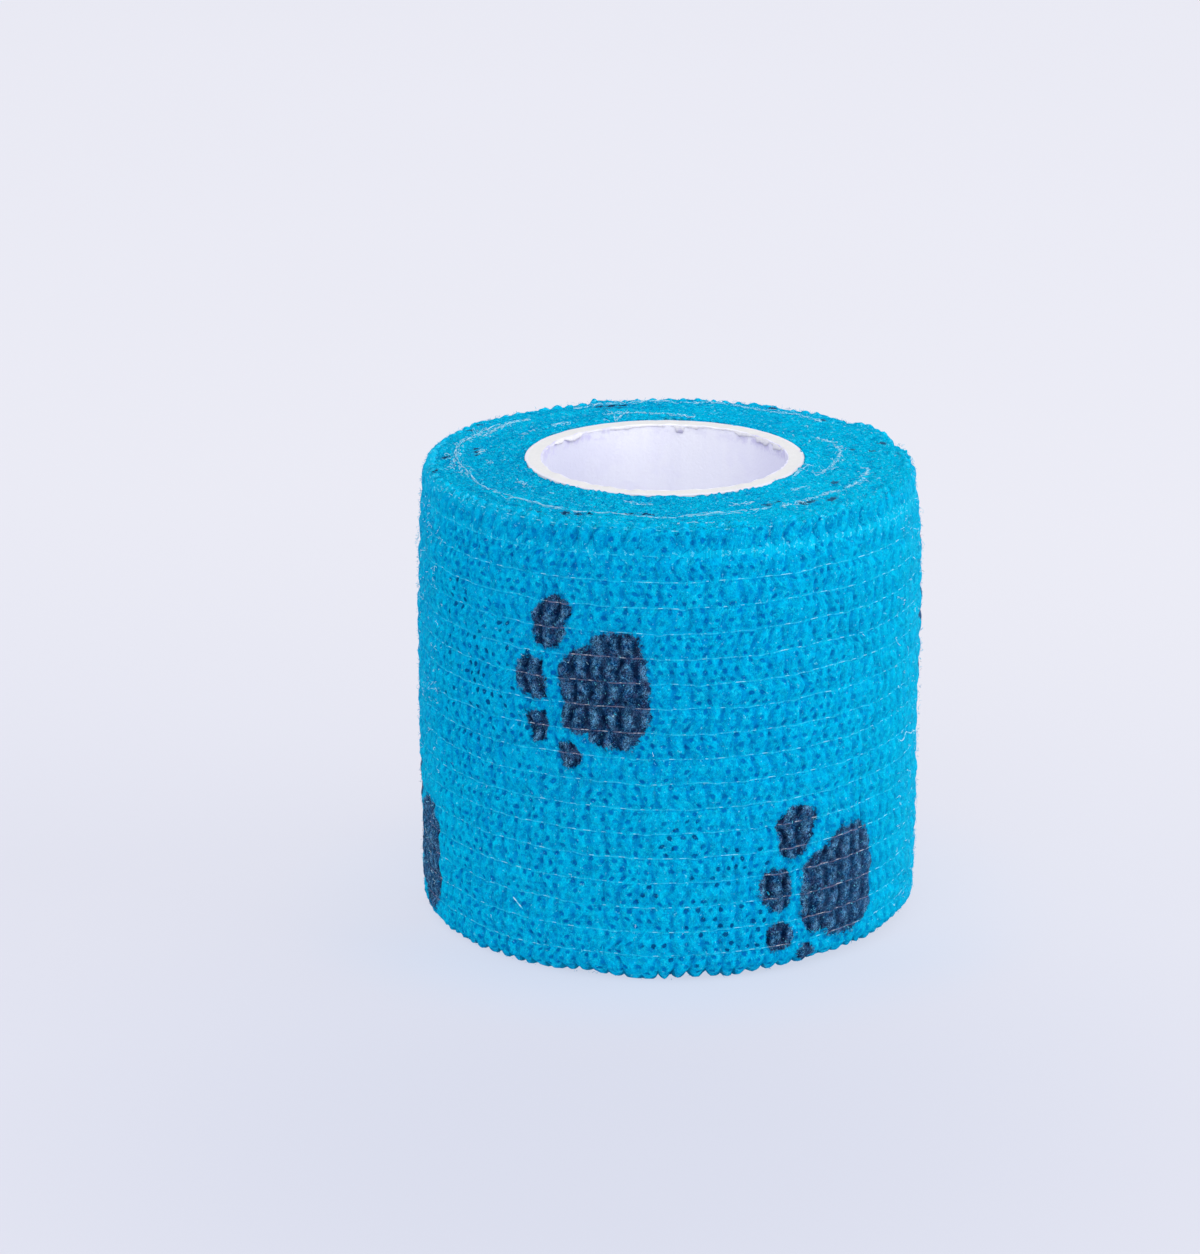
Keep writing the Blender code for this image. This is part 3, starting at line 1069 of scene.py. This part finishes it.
# The printed paw, in millimetres from the middle of its pad: centre across and up, half
# width, half height, tilt in degrees, and how square it is, 2 for an ellipse.
PAW = (
    (1.35, 0.0, 3.55, 6.3, 0, 3.0),
    (-1.25, -0.25, 3.72, 4.75, 0, 3.0),
    (-5.75, 7.0, 2.15, 2.9, -18, 2.2),
    (-8.05, 0.75, 1.75, 2.4, 4, 2.2),
    (-7.5, -4.65, 1.5, 1.75, 10, 2.2),
    (-3.9, -7.4, 1.2, 1.4, 8, 2.2),
)
PAW_PERIOD = 56.5          # millimetres round the band from one paw to the next
UPPER_PAW = (-6.75, 32.3)  # middle of the pad of one upper paw, round and along the band
LOWER_PAW = (19.9, 8.75)
GHOST_SHIFT = 13.1         # the turn below lies this far round


def paw_distance(round_band, along_band):
    """Millimetres from the nearest paw's outline, below 0 inside it."""
    # Far to the left the print lies a little lower, and further to the right.
    dragged = between(round_band, -26.0, -31.0)
    round_band = round_band - dragged * 0.7
    along_band = along_band + dragged * 0.8
    upper = along_band.math("GREATER_THAN", along_band, 21.3)
    middle = LOWER_PAW[0] + upper * (UPPER_PAW[0] - LOWER_PAW[0])
    across = wrapped(round_band - middle, PAW_PERIOD)
    up = along_band - (LOWER_PAW[1] + upper * (UPPER_PAW[1] - LOWER_PAW[1]))
    nearest = None
    for centre_across, centre_up, half_width, half_height, tilt, square in PAW:
        cos, sin = math.cos(math.radians(tilt)), math.sin(math.radians(tilt))
        right = ((across - centre_across) * cos + (up - centre_up) * sin) * (1 / half_width)
        above = ((up - centre_up) * cos - (across - centre_across) * sin) * (1 / half_height)
        reach = abs(right) ** square + abs(above) ** square
        edge = (reach ** (1 / square) - 1) * min(half_width, half_height)
        nearest = edge if nearest is None else least(nearest, edge)
    return nearest


def pit_distance(across, upward):
    """Millimetres from the nearest pit's middle, on the staggered lattice that the mesh has too."""
    nearest = None
    for shift in (0.0, 0.5):
        sideways = ping_pong(across + shift, 0.5) * (PIT_PITCH / MM)
        row = ping_pong(upward + 2 * shift, 1.0) * (PIT_ROW / MM)
        distance = (sideways ** 2 + row ** 2) ** 0.5
        nearest = distance if nearest is None else least(nearest, distance)
    return nearest


class CrepedCloth:
    """A place on the creped cloth, and the marks that its blue and its print have in common."""

    def __init__(self, place):
        self.place = place
        arc, along, self.felted = attribute(place, "print_place")
        self.arc = arc * (1 / MM)
        self.along = along * (1 / MM)
        self.upright = place.node("CombineXYZ", {}, {0: self.arc, 1: self.along * 0.55})
        self.fine = noise(place, 5.6, 2.0, 0.62, 0.9)
        self.weave = noise(self.upright, 2.4, 3.0, 0.62, 1.1)
        self.patches = noise(moved(place, 40, 10), 0.55, 3.0, 0.6)
        few = between(noise(place, 1.5, 1.0), 0.40, 0.56)
        self.light_strands = strands(self.upright, 2.6, 0.060, 11) * few
        few = between(noise(moved(place, 9, 4), 1.1, 1.0), 0.58, 0.44)
        self.dark_strands = strands(self.upright, 2.7, 0.060, 23) * few
        # Loose fibres hide the painted shade of the pits and grooves on both flanks.
        self.flank = abs(self.arc)
        self.clear = 1 - (between(self.flank, 25.0, 34.0) - between(self.flank, 43.0, 52.0)) * 0.5
        self.shade()
        self.crease()
        self.pierce()
        self.lay_threads()

    def shade(self):
        """How light the cloth is, with painted light and shade: paler over the shoulder, which faces up, and
        at the right, where the light comes from, a little darker on the upper wall, and paler low on the
        left and on the left flank.
        """
        arc, along = self.arc, self.along
        tone = self.fine * 0.50 + self.weave * 0.40 + noise(self.place, 0.8, 2.0, 0.55) * 0.10
        # Painted light over the shoulder, which faces up, and painted shade on the upper wall below it.
        tone = tone + between(along, 48.6, 50.0) * 0.034
        tone = tone - between(along, 43.0, 45.5) * between(along, 49.5, 48.5) * 0.014
        # Painted light at the right, where the light comes from, and on the left flank; paler low on the
        # left.
        tone = tone + between(arc, 12.0, 40.0) * 0.008
        tone = tone + between(along, 26.0, 15.0) * between(arc, 8.0, -2.0) * 0.036
        self.tone = tone + between(arc, -20.0, -32.0) * 0.026

    def crease(self):
        """Valleys between the pleats, darkened with painted shade: they waver, and are widest half way
        between two threads.
        """
        across, gap, self.crease_strength = attribute(self.place, "crease_place")
        self.notch = 1 - ping_pong(across, 0.5) * 2
        self.low = between(gap.math("FRACT", gap), 0.50, 0.12)
        self.halfway = between(ping_pong(gap, 0.5), 0.04, 0.30)
        valley = ping_pong(across, 0.5) * (FULL_TURN * ROLL_RADIUS / MM / PLEATS)
        valley = valley + (self.weave - 0.5) * 0.42 + (self.fine - 0.5) * 0.25
        self.valley = valley + (1 - self.halfway) * 0.08
        self.broken = between(noise(moved(self.upright, 3, 8), 0.9, 2.0, 0.6), 0.35, 0.50)
        groove = between(self.valley, 0.46, 0.08) * between(self.crease_strength, 0.20, 0.9)
        self.groove = groove * self.broken * self.clear * (0.35 + 0.65 * self.halfway)

    def pierce(self):
        """Pits, darkened partly by the turn below that shows through them and partly by painted shade, some
        of them with a lighter middle.
        """
        across, upward, strength = attribute(self.place, "pit_place")
        pit = pit_distance(across, upward) + (self.fine - 0.5) * 0.28 + (self.weave - 0.5) * 0.16
        pits = between(pit, 0.36, 0.13) * strength * (1 - self.felted * 0.7)
        self.pits = pits * self.clear * (1 - between(self.arc, 17.0, 30.0) * 0.40)
        self.middles = between(pit, 0.15, 0.03) * between(self.patches, 0.47, 0.54)

    def lay_threads(self):
        """Elastic threads that show faintly through the cloth, with a fine shade below them."""
        above = wrapped(self.along - FIRST_THREAD / MM, THREAD_STEP / MM)
        seen = between(noise(self.place, 1.0, 2.0), 0.35, 0.60)
        self.thread = between(abs(above), 0.09, 0.02) * seen
        below = between(above, -0.26, -0.17) * between(above, -0.06, -0.13)
        self.below = below * between(noise(moved(self.place, 4, 4), 1.3, 1.0), 0.46, 0.60)


CLOTH_BLUES = ((0.29, 0, 124, 190), (0.43, 0, 152, 210), (0.52, 0, 175, 223), (0.67, 2, 206, 240))
PRINT_NAVIES = ((0.33, 1, 32, 78), (0.45, 10, 64, 114), (0.56, 30, 98, 152), (0.68, 78, 152, 206))


def blue_ground(cloth):
    """The blue of the cloth where it isn't printed."""
    # Painted sheen: pale fibre strands on both flanks, where loose fibres catch the light at a grazing
    # angle.
    flank_sheen = strands(cloth.upright, 1.7, 0.09, 41)
    flank_sheen = flank_sheen * between(cloth.flank, 29.0, 37.0) * between(cloth.flank, 56.0, 48.0)
    # Painted shade in the pleat valleys, in the pits and under each thread, and painted light at the right.
    return layered(tinted(CLOTH_BLUES, cloth.tone), (
        (0, 124, 200, cloth.groove * 0.62),
        (0, 122, 194, cloth.dark_strands * 0.60),
        (24, 212, 244, cloth.light_strands * 0.62),
        (0, 106, 184, cloth.pits * 0.86),
        (0, 150, 214, cloth.middles * 0.60),
        (0, 112, 188, cloth.below * 0.50),
        (70, 206, 242, cloth.thread * 0.42),
        (6, 186, 230, cloth.felted * 0.38),
        (16, 182, 206, between(cloth.arc, 5.0, 36.0) * 0.22),
        (90, 206, 232, flank_sheen * 0.14),
    ))


def navy_print(cloth):
    """The print: hairs that have kept more or less of the ink, with painted highlights on the crests,
    painted shade off them, in the dark grooves and in the pits, and painted light at the right.
    """
    place, arc, halfway = cloth.place, cloth.arc, cloth.halfway
    # Painted highlights on the crests of the bumps, and painted shade off them.
    crest = between(cloth.valley, 0.28, 0.66) * (0.25 + 0.75 * halfway)
    crest = 1 - (1 - crest) * cloth.clear
    # The hairs are teal on the upper half of each bump and mauve on the lower half.
    mauve = between(noise(moved(place, 21, 5), 1.8, 2.0), 0.46, 0.60) * (0.45 + 0.55 * cloth.low)
    teal = between(noise(moved(place, 31, 6), 1.5, 2.0), 0.50, 0.60)
    bright = strands(place, 4.8, 0.11, 51) * between(noise(moved(place, 2, 9), 1.2, 1.0), 0.42, 0.54)
    rosy = strands(place, 4.4, 0.09, 63) * between(noise(moved(place, 8, 1), 1.3, 1.0), 0.46, 0.58)
    sparkle = noise(moved(place, 17, 3), 6.0, 1.0)
    # Painted shade in the deep grooves.
    deep = between(cloth.valley, 0.36, 0.08) * between(cloth.crease_strength, 0.2, 0.9)
    deep = deep * (0.12 + 0.88 * halfway) * (0.55 + 0.45 * cloth.broken)
    deep = deep * (1 - between(arc, 14.0, 24.0) * 0.45)
    return layered(tinted(PRINT_NAVIES, cloth.tone), (
        (72, 58, 88, mauve * (0.46 + 0.26 * between(arc, 12.0, 18.0))),
        (8, 92, 136, teal * 0.30),
        (92, 164, 214, cloth.light_strands * (0.40 + 0.55 * crest)),
        (116, 182, 222, bright * (0.25 + 0.75 * crest)),
        (122, 114, 144, rosy * 0.42),
        (92, 164, 216, between(sparkle, 0.54, 0.61) * (0.16 + 0.36 * crest)),
        (0, 22, 62, (1 - crest) * 0.32),
        (0, 12, 44, cloth.dark_strands * 0.80),
        (0, 14, 48, strands(place, 4.8, 0.10, 77) * 0.72),
        (0, 12, 42, between(sparkle, 0.46, 0.39) * 0.46),
        # Painted light at the right.
        (60, 118, 170, between(arc, 14.0, 22.0) * 0.12),
        (0, 14, 48, cloth.pits * 0.55),
        (0, 14, 46, deep * (1.2 * cloth.clear - 0.44)),
        (146, 138, 164, cloth.thread * 0.50),
    ))


def cloth_finish():
    """Blue nonwoven with printed navy paws: pleats, pits, threads below and curly fibres."""
    material, place = start("creped_cloth")
    cloth = CrepedCloth(place)
    ragged = (noise(place, 1.7, 3.0, 0.65) - 0.5) * 1.3 + (cloth.fine - 0.5) * 0.6
    print_edge = paw_distance(cloth.arc, cloth.along) + ragged
    # The print of the turn below shows in some of the pits.
    ghost = between(paw_distance(cloth.arc + GHOST_SHIFT, cloth.along) + ragged, 0.3, -0.3)
    ghost = ghost * between(cloth.pits, 0.20, 0.75) * between(cloth.patches, 0.44, 0.53)
    blue = layered(blue_ground(cloth), (
        (0, 92, 156, between(print_edge, 0.45, 0.05) * 0.45),
        (4, 62, 114, ghost * 0.75),
    ))
    colour = blend(blue, navy_print(cloth), between(print_edge, 0.12, -0.12))
    # White fibre ends, many more where the cloth is felted, and the turned-under foot in shade.
    rare = noise(moved(place, 7, 3), 2.6, 2.0, 0.6) + cloth.felted * 0.09
    specks = strands(place, 4.2, 0.10, 31) * between(rare, 0.65, 0.72)
    hem = cloth.along - cloth.notch ** 2 * cloth.crease_strength * 0.80
    colour = layered(colour, (
        (116, 224, 246, specks * 0.75),
        (4, 46, 84, between(hem, -0.04, -0.45) * 0.50),
    ))
    height = cloth.tone * 0.80 + cloth.light_strands * 0.16 - cloth.dark_strands * 0.16
    height = height - cloth.pits * 0.24 - cloth.groove * 0.22
    return finish(material, colour, 0.95, height, 0.20 * MM)


EDGE_BLUES = ((0.31, 0, 134, 192), (0.43, 0, 162, 213), (0.53, 0, 188, 231), (0.66, 6, 214, 245))


def edge_finish():
    """The felted edges of the wound turns, with a few bits of print and white fibres."""
    material, place = start("wound_edge_cloth")
    x, y, z = parts(place)
    ridge, lumps, printed = attribute(place, "edge_place")
    fine = noise(place, 5.0, 2.0, 0.6, 0.9)
    weave = noise(place, 2.4, 3.0, 0.62, 1.0)
    # The grain is stronger and a little darker at the left.
    tone = (fine * 0.45 + weave * 0.55 - 0.5) * (1.32 - 0.32 * between(x, -6.0, 10.0)) + 0.5
    tone = tone - between(x, -6.0, -18.0) * 0.008
    light_strands = strands(place, 2.0, 0.06, 11) * between(noise(place, 1.1, 1.0), 0.40, 0.58)
    dark_strands = strands(place, 2.2, 0.06, 23)
    in_front = 1 - between(y, 4.0, 20.0) * 0.45
    on_right = between(x, 0.0, 18.0)
    # Pale and dark grains of fibre, fewer at the back; the extra pale ones and the fewer dark ones at the
    # right are painted light, from the side the light comes from.
    grains = between(noise(moved(place, 13, 2), 6.8, 1.0), 0.54, 0.65) * in_front
    dark_grains = between(noise(moved(place, 3, 12), 6.0, 1.0), 0.45, 0.34) * in_front
    bits = printed + (weave - 0.5) * 1.3 + (fine - 0.5) * 1.7
    rare = noise(moved(place, 7, 3), 2.4, 2.0, 0.6)
    specks = strands(place, 5.0, 0.10, 31) * between(rare, 0.58, 0.66)
    # The inner turns that show under the foot of the last one are in its shade.
    from_middle = (x ** 2 + y ** 2) ** 0.5
    shaded = between(from_middle, 24.3, 24.6) * between(z, 2.2, 1.2)
    # Painted shade where the face lies low, between lumps and between the turns' edges, and painted light on
    # the high lumps.
    colour = layered(tinted(EDGE_BLUES, tone), (
        (0, 120, 184, between(lumps, -0.4, -2.0) * 0.60),
        (4, 194, 234, between(lumps, 0.6, 2.2) * 0.40),
        (0, 128, 190, between(ridge, 0.35, 0.0) * 0.30),
        (0, 118, 182, dark_strands * 0.50),
        (28, 212, 244, light_strands * 0.60),
        (10, 210, 242, grains * (0.66 + 0.20 * on_right)),
        (0, 112, 178, dark_grains * (0.80 - 0.40 * on_right)),
        (76, 74, 114, between(bits, 0.34, 0.46) * 0.6),
        (6, 46, 88, between(bits, 0.46, 0.60) * (0.88 - 0.34 * between(x, 8.0, 18.0))),
        (130, 224, 246, specks * 0.55),
        (4, 46, 84, shaded * 0.75),
    ))
    height = tone * 0.9 + light_strands * 0.12 - dark_strands * 0.12 + grains * 0.10
    return finish(material, colour, 0.95, height, 0.24 * MM)


def on_a_paw(place):
    """1 where a thread or a fibre lies on a printed paw."""
    arc, along, _ = attribute(place, "print_place")
    return between(paw_distance(arc * (1 / MM), along * (1 / MM)), 0.2, -0.2)


def thread_finish():
    """The elastic threads: pale, and beaded with ink where they cross a paw."""
    material, place = start("elastic_thread")
    patchy = noise(place, 1.2, 3.0, 0.6)
    colour = blend(ink(28, 194, 234), ink(156, 232, 250), between(patchy, 0.40, 0.60))
    beads = between(noise(place, 2.8, 2.0, 0.6), 0.40, 0.56)
    beaded = blend(ink(104, 98, 122), ink(204, 204, 218), beads)
    colour = blend(colour, beaded, on_a_paw(place) * 0.92)
    return finish(material, colour, 0.9, patchy, 0.03 * MM)


def fray_finish():
    """The white filaments of frayed threads and lint."""
    material, place = start("white_filaments")
    patchy = noise(place, 1.6, 2.0, 0.6)
    colour = blend(ink(58, 200, 236), ink(188, 230, 244), between(patchy, 0.38, 0.54))
    return finish(material, colour, 0.9, patchy, 0.02 * MM)


def fuzz_finish():
    """The loose fibres of the cloth itself, printed where they grow on a paw."""
    material, place = start("loose_fibres")
    patchy = noise(place, 0.9, 2.0, 0.6)
    colour = tinted(((0.38, 0, 172, 222), (0.54, 4, 192, 232), (0.66, 40, 204, 242)), patchy)
    mixed = noise(place, 3.0, 1.0)
    hair = tinted(((0.40, 14, 44, 84), (0.52, 36, 86, 136), (0.64, 98, 158, 204)), mixed)
    colour = blend(colour, hair, on_a_paw(place))
    return finish(material, colour, 0.9, patchy, 0.02 * MM)


# Painted light, which lightens the bore.
BORE_GLOW = (68, 68, 71)           # what the paper inside the tube gives off, on a screen


def board_finish():
    """White board: cream cut edge with a whiter outer ply, and smooth paper inside."""
    material, place = start("white_board")
    x, y, z = parts(place)
    from_middle = (x + TUBE_ASIDE / MM) * (1 / TUBE_WIDTH)
    radius = (from_middle ** 2 + y ** 2) ** 0.5
    fibre = noise(place, 3.0, 4.0, 0.6)
    soft = noise(place, 0.35, 3.0, 0.5)
    rim = blend(ink(214, 214, 215), ink(219, 218, 218), between(fibre, 0.30, 0.70))
    outer_ply = blend(ink(217, 217, 224), ink(221, 220, 228), between(fibre, 0.30, 0.70))
    colour = blend(rim, outer_ply, between(radius + (fibre - 0.5) * 0.3, 14.9, 15.1))
    upright = place.node("CombineXYZ", {}, {0: x * 0.5, 1: y * 0.5, 2: z * 0.05})
    streaks = noise(upright, 1.0, 3.0, 0.5)
    paper = tinted(((0.30, 234, 235, 244), (0.50, 237, 238, 245), (0.70, 240, 241, 247)), streaks)
    # Painted shade at both sides of the bore, and a painted shadow under the torn lip at the back.
    under_lip_shadow = between(z + (fibre - 0.5) * 1.6, 48.6, 49.7) * between(y, -6.0, 4.0)
    under_lip_shadow = under_lip_shadow * (0.25 + 0.75 * (between(x, -5.0, -9.0) + between(x, 6.0, 10.0)))
    shadow_patches = between(noise(moved(place, 5, 5), 0.7, 3.0, 0.6), 0.42, 0.58)
    paper = layered(paper, (
        (230, 230, 243, between(soft, 0.50, 0.66) * 0.5),
        (198, 199, 219, between(x, -2.0, -12.5) * 0.85),
        (217, 216, 238, between(x, 5.0, 12.5) * 0.8),
        (190, 186, 222, under_lip_shadow * shadow_patches * 0.8),
    ))
    inside = between(radius, 13.68, 13.60)
    colour = blend(colour, paper, inside)
    # Painted light: the paper inside the tube glows a little of its own, to lighten the bore.
    glow = blend(ink(0, 0, 0), ink(*BORE_GLOW), inside)
    give_off(material, glow)
    return finish(material, colour, 0.75, fibre, 0.05 * MM, 0.15)


def lip_finish():
    """Torn paper: white with shaded, purple-grey fibres at its ragged edge."""
    material, place = start("torn_paper")
    _, _, z = parts(place)
    fibre = noise(place, 3.4, 4.0, 0.65, 0.6)
    colour = tinted(((0.34, 214, 214, 222), (0.50, 220, 220, 226), (0.64, 226, 226, 230)), fibre)
    # Painted shade at the low, ragged edge.
    low = between(z + (fibre - 0.5) * 0.6, 50.0, 49.6)
    colour = blend(colour, ink(192, 188, 218), low * between(noise(place, 1.4, 2.0), 0.40, 0.58) * 0.75)
    return finish(material, colour, 0.8, fibre, 0.05 * MM, 0.1)


# Painted light that the floor gives off, on a screen: in front of the roll and far behind it.
FRONT_GLOW = (209, 210, 222)
BACK_GLOW = (217, 217, 226)
SHADE_GLOW = (198, 201, 216)       # in the wide soft shade in front of the roll
CLOSE_GLOW = (191, 206, 227)       # and close to it, where its blue falls on the floor


def floor_finish():
    """A pale floor that gives off painted light, brighter towards the back, with a painted soft shadow in
    front of the roll and a painted blue reflection close to it, so that the lamps' shadows on it are faint.
    """
    material, place = start("pale_floor")
    x, y, _ = parts(place)
    mottle = noise(place, 0.004, 2.0, 0.5)
    colour = blend(ink(96, 97, 101), ink(98, 99, 103), between(mottle, 0.3, 0.7))
    glow = blend(ink(*FRONT_GLOW), ink(*BACK_GLOW), between(y + x * 0.35, -60.0, 170.0))
    # A painted soft shadow in front of the roll, and a painted blue reflection of the roll close to it.
    away = ((x + 8) ** 2 + (y + 72) ** 2) ** 0.5
    glow = blend(glow, ink(*SHADE_GLOW), between(away, 92.0, 10.0))
    close_by = between((x ** 2 + y ** 2) ** 0.5, 46.0, 28.0)
    glow = blend(glow, ink(*CLOSE_GLOW), close_by * (0.18 + 0.30 * between(y, -5.0, -25.0)))
    give_off(material, glow)
    return finish(material, colour, 0.9, mottle, 0.1 * MM)


# ------------------------------------------------------------------ the set

FLOOR_SIZE = 4.0


def make_floor():
    """The white floor, which is staged and isn't part of the roll."""
    bm = bmesh.new()
    bmesh.ops.create_grid(bm, x_segments=8, y_segments=8, size=FLOOR_SIZE / 2)
    mesh = as_mesh(bm, "floor")
    mesh.materials.append(floor_finish())
    floor = placed("floor", mesh)


def make_camera():
    """The camera, where the photo's outline puts it."""
    lens = bpy.data.cameras.new("camera")
    lens.lens = CAMERA_LENS
    lens.clip_start = 0.01
    camera = placed("camera", lens)
    camera.location = CAMERA_PLACE
    camera.rotation_euler = (CAMERA_TILT, 0.0, CAMERA_TURN)
    bpy.context.scene.camera = camera


# Two big soft lights: name, place, size in metres, power in watts and colour.
LIGHTS = (
    ("right", (1.1, -0.15, 0.55), 0.9, 7.5, (1.0, 1.0, 0.92)),
    ("front", (-0.1, -0.95, 0.85), 1.0, 4.5, (1.0, 1.0, 1.0)),
)
LIGHTS_AIM = (0.0, 0.0, 0.03)
ROOM_COLOUR = (0.95, 0.955, 1.0, 1.0)
ROOM_STRENGTH = 0.92


def make_light(name, place, size, power, colour):
    lamp = bpy.data.lights.new(name, "AREA")
    lamp.size = size
    lamp.energy = power
    lamp.color = colour
    light = placed(name, lamp)
    light.location = place
    towards = Vector(place) - Vector(LIGHTS_AIM)
    light.rotation_euler = towards.to_track_quat("Z", "Y").to_euler()


def make_lights():
    """All the lights and the room's own light."""
    world = bpy.data.worlds.new("pale_room")
    world.use_nodes = True
    background = world.node_tree.nodes["Background"]
    background.inputs["Color"].default_value = ROOM_COLOUR
    background.inputs["Strength"].default_value = ROOM_STRENGTH
    bpy.context.scene.world = world
    for light in LIGHTS:
        make_light(*light)


def make_roll():
    """All the pieces of the roll."""
    cloth = cloth_finish()
    edges = edge_finish()
    fray = fray_finish()
    turn = LastTurn()
    upper = WoundEdges(EDGE_ROWS, True, 41)
    lower = WoundEdges(EDGE_ROWS // 2, False, 51)
    make_last_turn(turn, cloth)
    make_threads(turn, thread_finish())
    upper.make("upper_edges", edges)
    lower.make("lower_edges", edges)
    make_frayed_threads(upper, fray)
    make_tufts(upper, fray)
    make_fuzz(upper, fuzz_finish())
    make_core(board_finish())
    make_core_lip(lip_finish())


make_floor()
make_camera()
make_lights()
make_roll()
bpy.context.scene.view_settings.view_transform = "Standard"
